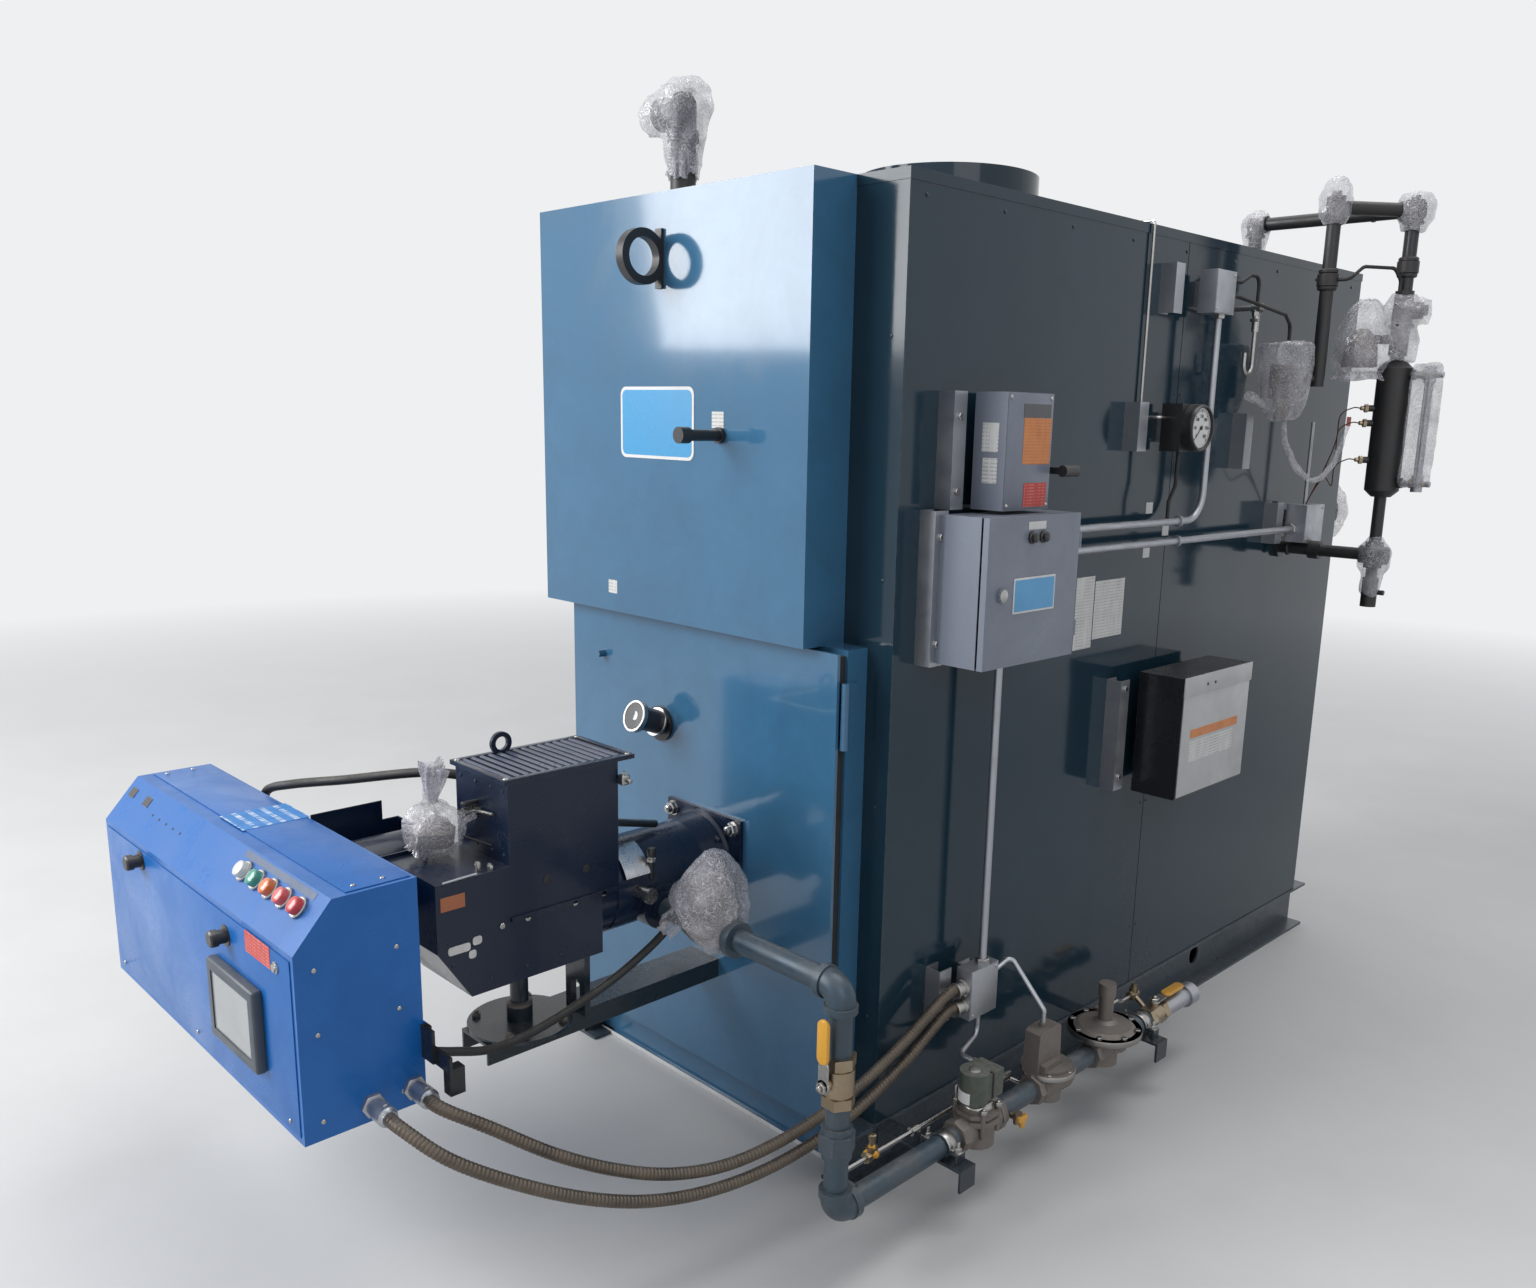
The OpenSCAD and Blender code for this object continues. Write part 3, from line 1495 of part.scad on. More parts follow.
// film bags left on the column fittings, the control and the float switch
module column_wraps() {
  color("Gainsboro")
    difference() {
      union() {
        translate([outlet_x, column_y, jacket_top + 20])
          bag([[0, 0], [30, 0], [36, 40], [44, 90], [30, 124], [0, 134]]);
        translate([pipe1_x, pipe1_y, tee_z - 46])
          bag([[0, 0], [26, 0], [42, 30], [44, 70], [26, 108], [0, 120]]);
        translate([column_x, column_y, tee_z - 56])
          bag([[0, 0], [28, 0], [46, 34], [50, 70], [34, 104], [0, 116]]);
        translate([column_x, column_y, column_top])
          bag([[0, 0], [48, 0], [46, 60], [36, 110], [50, 140], [32, 176], [0, 180]]);
        rod_x(column_x, column_x + 66, column_y, column_top + 132, 34);
        translate([float_x, float_y, float_z - 92])
          bag([[0, 0], [62, 4], [74, 30], [68, 100], [46, 160], [20, 184], [0, 186]]);
        translate([control_x, control_y, pipe1_foot - 94])
          bag([[0, 0], [34, 4], [58, 40], [66, 110], [72, 150], [68, 204], [0, 212]]);
      }
      upper_pipes(fit);
      rod_z(column_x, column_y, column_foot, column_top, column_r + fit);
    }
}

skid_rails();
skid_cross_members();
front_skirt();
boiler_block();
side_panels();
end_panels();
top_cap();
lower_front_box();
burner_door();
door_gasket();
door_hinges();
upper_cover_box();
lifting_ring();
cover_handle();
sight_port();
flue_collar();
steam_pipe();
jacket_wraps();
burner_tube();
burner_housing();
air_grille();
burner_support();
burner_wraps();
burner_cabinet();
cabinet_screen();
cabinet_lights();
fan_tray();
switch_hose();
gas_pipe_upper();
gas_pipe_main();
gas_inlet_pipe();
ball_valves();
valve_lever_front();
pipe_feet();
pilot_line();
shutoff_valve();
solenoid_coil();
gas_actuator();
gas_regulator();
valve_lever_rear();
junction_boxes();
conduit_runs();
control_cables();
flex_conduit_upper();
flex_conduit_lower();
gas_valve_hose();
wall_struts();
switch_box();
switch_lever();
enclosure_body();
enclosure_door();
document_box();
pressure_gauge();
pressure_piping();
column_piping();
water_column();
gauge_glass();
column_wraps();
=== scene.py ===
import math
import bpy
from mathutils import Matrix, Vector, noise


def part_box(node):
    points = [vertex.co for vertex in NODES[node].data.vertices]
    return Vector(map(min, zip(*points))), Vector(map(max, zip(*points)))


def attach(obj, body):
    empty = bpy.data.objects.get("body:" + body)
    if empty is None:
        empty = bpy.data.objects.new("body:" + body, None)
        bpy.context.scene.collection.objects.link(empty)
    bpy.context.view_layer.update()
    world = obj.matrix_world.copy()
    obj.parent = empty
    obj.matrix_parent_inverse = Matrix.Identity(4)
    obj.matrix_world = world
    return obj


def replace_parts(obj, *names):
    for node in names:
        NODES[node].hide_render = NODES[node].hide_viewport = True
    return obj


bl_info = {
    "name": "Package Boiler",
    "version": (1, 0, 0),
    "blender": (4, 5, 0),
    "location": "View3D > Sidebar > Boiler",
    "description": "Dresses the packed boiler frame with film bags, fittings, dials, labels and finishes",
    "category": "Object",
}

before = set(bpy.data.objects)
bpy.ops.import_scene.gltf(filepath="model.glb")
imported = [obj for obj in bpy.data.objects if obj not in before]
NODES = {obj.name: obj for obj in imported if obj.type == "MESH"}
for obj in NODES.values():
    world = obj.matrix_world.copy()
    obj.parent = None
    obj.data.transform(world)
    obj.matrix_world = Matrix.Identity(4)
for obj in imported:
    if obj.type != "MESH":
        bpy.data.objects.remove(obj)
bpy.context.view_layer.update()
ROOT = "boiler"
FINISHES = {}     # the boiler's own materials by name, since the frame has some of the same name

# Directions: the burner end of the machine is its front, towards -Y.
UP, DOWN, FRONT, BACK, RIGHT, LEFT = (0, 0, 1), (0, 0, -1), (0, -1, 0), (0, 1, 0), (1, 0, 0), (-1, 0, 0)
ORIGIN = (0, 0, 0)

# Where things of the frame stand, in metres.
COLUMN = (0.812, 0.666)                     # x and y of the water column
RISER = (0.672, 0.495)                      # x and y of the second riser over the jacket's edge
PROBE = (0.738, 0.600)                      # x and y of the probe housing
STEAM = (-0.247, -0.980)                    # x and y of the steam outlet
AIR_SWITCH = (0.013, -1.826)                # x and y of the air switch over the scroll
TUBE_AXIS = (0.057, 0.662)                  # x and z of the burner tube
HOUSING_X, HOUSING_TOP = 0.156, 0.991       # right side and top of the burner housing
CABINET_X = 0.190                           # right side of the burner cabinet
GLANDS = ((-2.061, 0.453), (-1.980, 0.456))  # y and z of the two conduits' glands on it
CONDUIT_X = 0.592                           # x of the conduits along the jacket
TRAIN_X, TRAIN_Z = 0.700, 0.170             # line of the gas train
SHUTOFF_Y, ACTUATOR_Y, REGULATOR_Y = -0.925, -0.652, -0.407

POINT = 0.0004                              # radius that stands for a point, so that no face is empty
SMOOTH_DEG = 35                             # edges sharper than this stay sharp
CORD_STEPS = 60                             # stretches of a hose's path
SLEEVE_STEPS = 400                          # stretches by which a sleeve's length is measured


class BoilerPaints(bpy.types.PropertyGroup):
    """Colours of the finishes, as linear light"""
    def tint(name, text, value):
        return bpy.props.FloatVectorProperty(
            name=name, description=text, subtype="COLOR", size=3, min=0.0, max=1.0, default=value)

    jacket: tint("Jacket", "Glossy paint of the jacket sheets", (0.013, 0.036, 0.056))
    front: tint("Front", "Glossy paint of the cover box and burner door", (0.046, 0.152, 0.275))
    cabinet: tint("Cabinet", "Blue paint of the burner cabinet", (0.006, 0.125, 0.430))
    burner: tint("Burner", "Dark blue paint of the burner housing", (0.005, 0.013, 0.036))
    skid: tint("Skid", "Paint of the rails and cross members", (0.018, 0.042, 0.066))
    support: tint("Support", "Paint of the swing arm and pipe feet", (0.016, 0.028, 0.040))
    pipe: tint("Gas pipe", "Weathered paint of the gas pipe", (0.034, 0.064, 0.092))
    iron: tint("Black iron", "Bare pipe and column", (0.026, 0.030, 0.034))
    brass: tint("Brass", "Valve bodies", (0.34, 0.28, 0.20))
    yellow: tint("Yellow", "Coating of the valve levers", (0.74, 0.36, 0.02))
    cast: tint("Cast grey", "Valve and regulator castings", (0.20, 0.18, 0.165))
    coil: tint("Coil green", "Paint of the solenoid coil", (0.045, 0.062, 0.045))
    zinc: tint("Zinc", "Galvanised channels, boxes and conduits", (0.40, 0.42, 0.46))
    enclosure: tint("Enclosure", "Grey paint of the control boxes", (0.19, 0.215, 0.27))
    sleeve: tint("Sleeve", "Flexible conduit", (0.070, 0.056, 0.045))
    film: tint("Film", "Crumpled wrapping film", (0.58, 0.57, 0.61))


class BoilerSizes(bpy.types.PropertyGroup):
    """Sizes of the added pieces, in metres"""
    def length(name, text, value):
        return bpy.props.FloatProperty(
            name=name, description=text, subtype="DISTANCE", unit="LENGTH", min=0.0, default=value)

    edge: length("Edge", "Rounding of sheet metal edges", 0.0015)
    label: length("Label", "Thickness of labels and papers", 0.0008)
    screw: length("Screw", "Radius of small screw heads", 0.0045)
    crumple: length("Crumple", "Depth of the folds in the film", 0.012)
    voxel: length("Film mesh", "Mesh size of the film bags", 0.0075)
    pitch: length("Conduit pitch", "Distance between the ridges of the flexible conduit", 0.0080)


class BoilerStudio(bpy.types.PropertyGroup):
    """Lens, lamps and floor of the studio"""
    def lamp(name, text, value):
        return bpy.props.FloatProperty(name=name, description=text, subtype="POWER", unit="POWER", min=0.0,
                                       default=value)

    lens: bpy.props.FloatProperty(name="Lens", description="Focal length", subtype="DISTANCE_CAMERA",
                                  unit="CAMERA", min=5.0, default=29.162)
    key: lamp("Key", "Lamp on the burner side", 560.0)
    fill: lamp("Fill", "Lamp on the control side", 75.0)
    top: lamp("Top", "Lamp overhead", 230.0)
    sky: bpy.props.FloatProperty(name="Sky", description="Strength of the light that comes from all around",
                                 min=0.0, default=0.34)
    floor: bpy.props.FloatVectorProperty(name="Floor", description="Pale studio floor", subtype="COLOR",
                                         size=3, min=0.0, max=1.0, default=(0.62, 0.62, 0.61))


def paints():
    return bpy.context.scene.boiler_paints


def sizes():
    return bpy.context.scene.boiler_sizes


def studio():
    return bpy.context.scene.boiler_studio


def put_down():
    """Object mode with nothing picked."""
    if bpy.context.object and bpy.context.object.mode != "OBJECT":
        bpy.ops.object.mode_set(mode="OBJECT")
    bpy.ops.object.select_all(action="DESELECT")


def pick(*objs):
    """Only these picked, the first one active."""
    put_down()
    for o in objs:
        o.select_set(True)
    bpy.context.view_layer.objects.active = objs[0]


def settle():
    """Bakes the place of what is picked into its mesh."""
    bpy.ops.object.transform_apply(location=True, rotation=True, scale=True)


def hold(obj, place):
    """Moves a piece to its place and bakes that into its mesh."""
    obj.matrix_world = place
    pick(obj)
    settle()
    return obj


def choose(obj, kind, test):
    """Edit mode with only the faces or edges picked that pass the test."""
    pick(obj)
    bpy.ops.object.mode_set(mode="EDIT")
    bpy.ops.mesh.select_mode(type=kind)
    bpy.ops.mesh.select_all(action="DESELECT")
    bpy.ops.object.mode_set(mode="OBJECT")
    for part in obj.data.polygons if kind == "FACE" else obj.data.edges:
        part.select = test(part)
    bpy.ops.object.mode_set(mode="EDIT")


def apply_mods(obj):
    """Makes the modifiers of a piece part of its mesh."""
    pick(obj)
    for mod in list(obj.modifiers):
        bpy.ops.object.modifier_apply(modifier=mod.name)


def finish(made, name, tone, body=ROOT, smooth=SMOOTH_DEG):
    """Joins what was made into one piece, bakes its place into its mesh, gives it its finish and its body."""
    obj = join(made) if isinstance(made, list) else made
    pick(obj)
    settle()
    obj.name = name
    obj.data.name = name
    obj.data.materials.clear()
    obj.data.materials.append(FINISHES[tone])
    if smooth:
        bpy.ops.object.shade_smooth_by_angle(angle=math.radians(smooth))
    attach(obj, body)
    return obj


def bevel(obj, width, segments=2, angle=40):
    """Rounds the edges that are sharper than the angle."""
    mod = obj.modifiers.new("edge", "BEVEL")
    mod.width = width
    mod.segments = segments
    mod.limit_method = "ANGLE"
    mod.angle_limit = math.radians(angle)
    apply_mods(obj)


def block(lo, hi, edge=None, segments=2):
    """Sheet or cast block between two corners with rounded edges."""
    lo, hi = Vector(lo), Vector(hi)
    put_down()
    bpy.ops.mesh.primitive_cube_add(size=1, location=(lo + hi) / 2)
    obj = bpy.context.object
    obj.scale = hi - lo
    settle()
    edge = sizes().edge if edge is None else edge
    if edge:
        bevel(obj, min(edge, 0.45 * min(hi - lo)), segments)
    return obj


def stand(obj, base, axis, spin=0.0):
    """Turns a piece made along +Z so that it stands on base along axis."""
    turn = Vector(UP).rotation_difference(Vector(axis)).to_matrix().to_4x4()
    return hold(obj, Matrix.Translation(base) @ turn @ Matrix.Rotation(spin, 4, "Z"))


def turned(base, axis, steps, sides=32, edge=0.0, spin=0.0, fill=True):
    """Lathe work: a disc drawn out through (distance, radius) steps along the axis."""
    put_down()
    bpy.ops.mesh.primitive_circle_add(
        vertices=sides, radius=max(steps[0][1], POINT), fill_type="NGON" if fill else "NOTHING",
        location=(0, 0, steps[0][0]))
    obj = bpy.context.object
    settle()
    bpy.ops.object.mode_set(mode="EDIT")
    bpy.ops.mesh.select_all(action="SELECT")
    at, radius = steps[0][0], max(steps[0][1], POINT)
    for d, r in steps[1:]:
        r = max(r, POINT)
        bpy.ops.mesh.extrude_region_move(TRANSFORM_OT_translate={"value": (0, 0, d - at)})
        bpy.ops.transform.resize(value=(r / radius, r / radius, 1), center_override=(0, 0, d))
        at, radius = d, r
    bpy.ops.mesh.select_all(action="SELECT")
    bpy.ops.mesh.normals_make_consistent(inside=False)
    bpy.ops.object.mode_set(mode="OBJECT")
    if edge:
        bevel(obj, edge, 2)
    return stand(obj, base, axis, spin)


def rod(p0, p1, r, sides=24, edge=0.0):
    """Round bar between two points."""
    p0, p1 = Vector(p0), Vector(p1)
    return turned(p0, (p1 - p0).normalized(), [(0, r), ((p1 - p0).length, r)], sides, edge)


def hex_nut(base, axis, across, high, bore=0.0, spin=0.0):
    """Nut or bolt head with chamfered corners, and the bolt end that shows in it."""
    r = across / math.sqrt(3)
    obj = turned(base, axis, [(0, r), (high * 0.84, r), (high, r * 0.86)], 6, spin=spin)
    if bore:
        tip = turned(Vector(base) + Vector(axis) * high, axis,
                     [(0, bore), (bore * 0.8, bore), (bore, bore * 0.7)], 12)
        obj = join([obj, tip])
    return obj


def join(objs):
    """One piece made of all of them."""
    if len(objs) == 1:
        return objs[0]
    pick(*objs)
    bpy.ops.object.join()
    return bpy.context.object


def tube(points, r, sides, smooth_path=True):
    """Round cable or small tube through the points."""
    curve = bpy.data.curves.new("run", "CURVE")
    curve.dimensions = "3D"
    curve.bevel_depth = r
    curve.bevel_resolution = max(1, sides // 4 - 1)
    curve.use_fill_caps = True
    if smooth_path:
        points = path_of(points, 8 * (len(points) - 1))
    spline = curve.splines.new("POLY")
    spline.points.add(len(points) - 1)
    for p, q in zip(spline.points, points):
        p.co = (*q, 1)
    obj = bpy.data.objects.new("run", curve)
    bpy.context.scene.collection.objects.link(obj)
    pick(obj)
    bpy.ops.object.convert(target="MESH")
    obj = bpy.context.object
    merge(obj)
    return obj


def merge(obj):
    """Merges doubled points and turns all faces outwards."""
    pick(obj)
    bpy.ops.object.mode_set(mode="EDIT")
    bpy.ops.mesh.select_all(action="SELECT")
    bpy.ops.mesh.remove_doubles(threshold=0.00005)
    bpy.ops.mesh.normals_make_consistent(inside=False)
    bpy.ops.object.mode_set(mode="OBJECT")


def along(route, u):
    """Point at u from 0 to 1 on the smooth line through the route."""
    pts = [Vector(p) for p in route]
    m = len(pts) - 1
    i = min(int(math.floor(u * m)), m - 1)
    t = u * m - i
    a, b = pts[i], pts[i + 1]
    da = b - a if i == 0 else (b - pts[i - 1]) / 2
    db = b - a if i == m - 1 else (pts[i + 2] - a) / 2
    return (a * (2 * t**3 - 3 * t**2 + 1) + b * (3 * t**2 - 2 * t**3)
            + da * (t**3 - 2 * t**2 + t) + db * (t**3 - t**2))


def path_of(route, steps):
    """Evenly counted points on the smooth line through the route."""
    return [along(route, k / steps) for k in range(steps + 1)]


def copy_of(node, name):
    """A merged copy of a CAD node's mesh."""
    pick(NODES[node])
    bpy.ops.object.duplicate(linked=False)
    obj = bpy.context.object
    obj.name = name
    obj.parent = None
    merge(obj)
    return obj


class Sheet:
    """Node sheet of one material or group."""

    def __init__(self, tree):
        self.tree = tree

    def feed(self, socket, value):
        """Gives a socket a value, or a line from another socket."""
        if isinstance(value, bpy.types.NodeSocket):
            self.tree.links.new(value, socket)
        elif isinstance(value, tuple) and socket.type == "RGBA":
            socket.default_value = (*value[:3], 1.0)
        else:
            socket.default_value = value

    def add(self, kind, inputs=None, **settings):
        """New node with its settings, its inputs fed by name or number."""
        n = self.tree.nodes.new(kind)
        for key, value in settings.items():
            setattr(n, key, value)
        for key, value in (inputs or {}).items():
            self.feed(n.inputs[key], value)
        return n

    def math(self, op, a, b=0.0, clamp=False):
        return self.add("ShaderNodeMath", {0: a, 1: b}, operation=op, use_clamp=clamp).outputs[0]

    def times(self, *values):
        """Product of masks and values, the last step clamped to 0 to 1."""
        out = values[0]
        for k, value in enumerate(values[1:], 2):
            out = self.math("MULTIPLY", out, value, clamp=k == len(values))
        return out

    def ranged(self, value, lo, hi, out_lo=0.0, out_hi=1.0):
        """Value between lo and hi, spread to the new range."""
        return self.add("ShaderNodeMapRange", {"Value": value, "From Min": lo, "From Max": hi,
                                               "To Min": out_lo, "To Max": out_hi}).outputs["Result"]

    def blend(self, mask, a, b, kind="MIX"):
        """Colour a with b over it where the mask says so."""
        n = self.add("ShaderNodeMix", data_type="RGBA", blend_type=kind)
        for key, value in (("Factor", mask), ("A", a), ("B", b)):
            self.feed([s for s in n.inputs if s.name == key and s.enabled][0], value)
        return [s for s in n.outputs if s.enabled][0]

    def split(self, vector, axis):
        return self.add("ShaderNodeSeparateXYZ", {"Vector": vector}).outputs[axis]

    def bump(self, height, strength, distance, under=None):
        """Bump normal, on top of another one where that is given."""
        inputs = {"Height": height, "Strength": strength, "Distance": distance}
        if under:
            inputs["Normal"] = under
        return self.add("ShaderNodeBump", inputs).outputs["Normal"]

    def place(self):
        return self.add("ShaderNodeTexCoord").outputs["Object"]

    def effect(self, name, **inputs):
        """Outputs of one of the shared effects."""
        return self.add("ShaderNodeGroup", inputs, node_tree=bpy.data.node_groups[name]).outputs

    def noise(self, place, scale, detail=3.0, rough=0.5, out="Fac", distortion=0.0):
        return self.add("ShaderNodeTexNoise", {"Vector": place, "Scale": scale, "Detail": detail,
                                               "Roughness": rough, "Distortion": distortion}).outputs[out]


def group(name, outs, **ins):
    """Empty node group: its outputs, and its inputs with their values, or None for a place."""
    tree = bpy.data.node_groups.new(name, "ShaderNodeTree")
    for label, value in ins.items():
        kind = "NodeSocketVector" if value is None else "NodeSocketFloat"
        sock = tree.interface.new_socket(name=label, in_out="INPUT", socket_type=kind)
        if value is not None:
            sock.default_value = value
    for label in outs:
        tree.interface.new_socket(name=label, in_out="OUTPUT", socket_type="NodeSocketFloat")
    sheet = Sheet(tree)
    return sheet, sheet.add("NodeGroupInput").outputs, sheet.add("NodeGroupOutput").inputs


def make_groups():
    """Effects that several finishes share."""
    s, given, out = group("worn edges", ("Mask",), Place=None, Width=0.003, Amount=0.5)
    round_edge = s.add("ShaderNodeBevel", {"Radius": given["Width"]}, samples=4).outputs["Normal"]
    flat = s.add("ShaderNodeNewGeometry").outputs["Normal"]
    dot = s.add("ShaderNodeVectorMath", {0: round_edge, 1: flat}, operation="DOT_PRODUCT").outputs["Value"]
    rub = s.ranged(s.math("SUBTRACT", 1.0, dot), 0.02, 0.25)
    patch = s.ranged(s.noise(given["Place"], 38.0, 5.0, 0.65), 0.42, 0.62)
    s.feed(out["Mask"], s.times(rub, patch, given["Amount"]))

    s, given, out = group("settled dust", ("Mask",), Place=None, Amount=0.3, Low=0.5)
    flat_up = s.ranged(s.split(s.add("ShaderNodeNewGeometry").outputs["Normal"], "Z"), 0.55, 1.0)
    low = s.math("MULTIPLY", s.ranged(s.split(given["Place"], "Z"), 0.55, 0.0), given["Low"])
    cloud = s.ranged(s.noise(given["Place"], 3.5, 6.0, 0.62), 0.30, 0.72)
    speck = s.ranged(s.noise(given["Place"], 90.0, 2.0, 0.5), 0.42, 0.60, 0.55, 1.0)
    s.feed(out["Mask"], s.times(s.math("MAXIMUM", flat_up, low), cloud, speck, given["Amount"]))

    s, given, out = group("handled paint", ("Smudge", "Height", "Waves"), Place=None, Grain=400.0, Wave=1.3)
    s.feed(out["Smudge"], s.ranged(s.noise(given["Place"], 5.5, 7.0, 0.68, distortion=0.6), 0.33, 0.70))
    s.feed(out["Height"], s.noise(given["Place"], given["Grain"], 2.0, 0.5))
    s.feed(out["Waves"], s.noise(given["Place"], given["Wave"], 2.0, 0.4))

    s, given, out = group("cast skin", ("Pits", "Stain"), Place=None, Grain=220.0)
    s.feed(out["Pits"], s.noise(given["Place"], given["Grain"], 6.0, 0.75))
    s.feed(out["Stain"], s.ranged(s.noise(given["Place"], 14.0, 6.0, 0.7), 0.35, 0.68))


def shader(name):
    """New material with its node sheet and its Principled BSDF's inputs."""
    made = FINISHES[name] = bpy.data.materials.new(name)
    made.use_nodes = True
    return made, Sheet(made.node_tree), made.node_tree.nodes["Principled BSDF"].inputs


def skin_of(name, effect, edge_width, wear, dust, low, **inputs):
    """Start of a finish: its sheet and inputs, and the effects that most finishes share."""
    s, bsdf = shader(name)[1:]
    place = s.place()
    return (s, bsdf, place, s.effect(effect, Place=place, **inputs),
            s.effect("worn edges", Place=place, Width=edge_width, Amount=wear)["Mask"],
            s.effect("settled dust", Place=place, Amount=dust, Low=low)["Mask"])


def brighter(colour, gain, more=0.0):
    return tuple(min(1.0, c * gain + more) for c in colour)


def painted(name, colour, rough=0.18, coat=0.4, wave_depth=0.0, grain=420.0, grain_depth=0.00004,
            wear=0.5, dust=0.3, low=0.5, under=(0.20, 0.21, 0.22), shine=0.5, bracket=None):
    """Sheet metal paint: smudged gloss, faint orange peel, worn edges and settled dust.
    Past the bracket line the sheet is black."""
    s, bsdf, place, skin, worn, dusty = skin_of(name, "handled paint", 0.0035, wear, dust, low, Grain=grain)
    tone = s.blend(skin["Smudge"], tuple(colour), brighter(colour, 0.82))
    tone = s.blend(worn, tone, under)
    tone = s.blend(dusty, tone, (0.42, 0.38, 0.33))
    if bracket:
        tone = s.blend(s.math("GREATER_THAN", s.split(place, "X"), bracket), tone, (0.020, 0.021, 0.023))
    s.feed(bsdf["Base Color"], tone)
    gloss = s.ranged(skin["Smudge"], 0.0, 1.0, rough * 0.75, rough * 1.5)
    s.feed(bsdf["Roughness"], s.math("ADD", gloss, s.math("MULTIPLY", dusty, 0.45), clamp=True))
    normal = s.bump(skin["Height"], 0.5, grain_depth)
    if wave_depth:
        normal = s.bump(skin["Waves"], 1.0, wave_depth, normal)
    s.feed(bsdf["Normal"], normal)
    s.feed(bsdf["Coat Weight"], coat)
    s.feed(bsdf["Coat Roughness"], 0.06)
    s.feed(bsdf["Specular IOR Level"], shine)


def metal(name, colour, rough=0.35, metallic=1.0, grain=260.0, pits=0.0002, stain=(0.20, 0.16, 0.12),
          stained=0.3, wear=0.4, bright=None, dust=0.25):
    """Cast, zinc coated or bare metal with stains, pits and rubbed edges."""
    s, bsdf, _, skin, worn, dusty = skin_of(name, "cast skin", 0.0025, wear, dust, 0.4, Grain=grain)
    tone = s.blend(s.math("MULTIPLY", skin["Stain"], stained), tuple(colour), stain)
    tone = s.blend(worn, tone, bright or brighter(colour, 1.5))
    s.feed(bsdf["Base Color"], s.blend(dusty, tone, (0.36, 0.33, 0.29)))
    gloss = s.ranged(skin["Stain"], 0.0, 1.0, rough * 0.8, min(1.0, rough * 1.45))
    s.feed(bsdf["Roughness"], s.math("ADD", gloss, s.math("MULTIPLY", dusty, 0.3), clamp=True))
    s.feed(bsdf["Normal"], s.bump(skin["Pits"], 0.8, pits))
    s.feed(bsdf["Metallic"], metallic)


def plastic(name, colour, rough=0.4, coat=0.0, dust=0.25, depth=0.00005):
    """Moulded or printed surface: paint with hardly any wear."""
    painted(name, colour, rough, coat, grain=300.0, grain_depth=depth, wear=0.15, dust=dust,
            under=brighter(colour, 1.8, 0.03))


def film_finish(name, colour, clear=0.80):
    """Thin crumpled wrapping film: clear between its folds, milky where it bunches, with painted highlights
    that lighten its creases.
    """
    s, bsdf = shader(name)[1:]
    place = s.place()
    warp = s.add("ShaderNodeVectorMath", {0: place, 1: s.noise(place, 7.0, 3.0, 0.6, out="Color")},
                 operation="ADD")
    crease, fine = (s.add("ShaderNodeTexVoronoi", {"Vector": warp.outputs[0], "Scale": scale},
                          feature="DISTANCE_TO_EDGE").outputs["Distance"] for scale in (24.0, 75.0))
    fold = s.ranged(crease, 0.0, 0.07, 1.0, 0.0)
    thin = s.ranged(fine, 0.0, 0.10, 1.0, 0.0)
    cloud = s.ranged(s.noise(place, 13.0, 5.0, 0.62, distortion=0.4), 0.40, 0.72)
    # painted highlight: creases and finer folds are lightened towards a brighter copy of the film colour
    tone = s.blend(s.math("MAXIMUM", fold, s.math("MULTIPLY", thin, 0.6)), tuple(colour),
                   brighter(colour, 1.55))
    s.feed(bsdf["Base Color"], s.blend(s.math("MULTIPLY", cloud, 0.45), tone, brighter(colour, 0.6)))
    milky = s.math("MAXIMUM", s.math("MULTIPLY", cloud, 0.9), s.math("MULTIPLY", fold, 0.8))
    milky = s.math("MAXIMUM", milky, s.math("MULTIPLY", thin, 0.45))
    s.feed(bsdf["Alpha"], s.ranged(milky, 0.0, 1.0, 1.0 - clear, 0.80))
    s.feed(bsdf["Roughness"], s.ranged(cloud, 0.0, 1.0, 0.10, 0.28))
    s.feed(bsdf["Normal"], s.bump(fine, 0.7, 0.0012, s.bump(crease, 1.0, 0.004)))
    s.feed(bsdf["Specular IOR Level"], 0.7)
    s.feed(bsdf["Coat Weight"], 0.8)
    s.feed(bsdf["Coat Roughness"], 0.05)


def paper_finish(name, colour, ink=(0.25, 0.25, 0.27), rows=130.0, axis="Z", dark=0.55):
    """Printed sheet whose lines, counted along the axis, are only grey dashes."""
    s, bsdf = shader(name)[1:]
    place = s.place()
    line = s.math("GREATER_THAN", s.math("FRACT", s.math("MULTIPLY", s.split(place, axis), rows)), 0.62)
    across = 8.0 if axis == "Y" else 260.0
    stretch = s.add("ShaderNodeMapping", {"Vector": place, "Scale": (260.0, across, 8.0)}).outputs[0]
    dashes = s.math("GREATER_THAN", s.noise(stretch, 1.0, 1.0, 0.5), 0.50)
    fade = s.ranged(s.noise(place, 30.0, 4.0, 0.6), 0.3, 0.7, 0.86, 1.0)
    grey = s.add("ShaderNodeCombineColor", {"Red": fade, "Green": fade, "Blue": fade}).outputs[0]
    tone = s.blend(s.math("MULTIPLY", s.math("MULTIPLY", line, dashes), dark), colour, ink)
    s.feed(bsdf["Base Color"], s.blend(1.0, tone, grey, "MULTIPLY"))
    s.feed(bsdf["Roughness"], s.ranged(fade, 0.86, 1.0, 0.55, 0.4))
    s.feed(bsdf["Normal"], s.bump(s.noise(place, 40.0, 4.0, 0.5), 0.4, 0.0005))


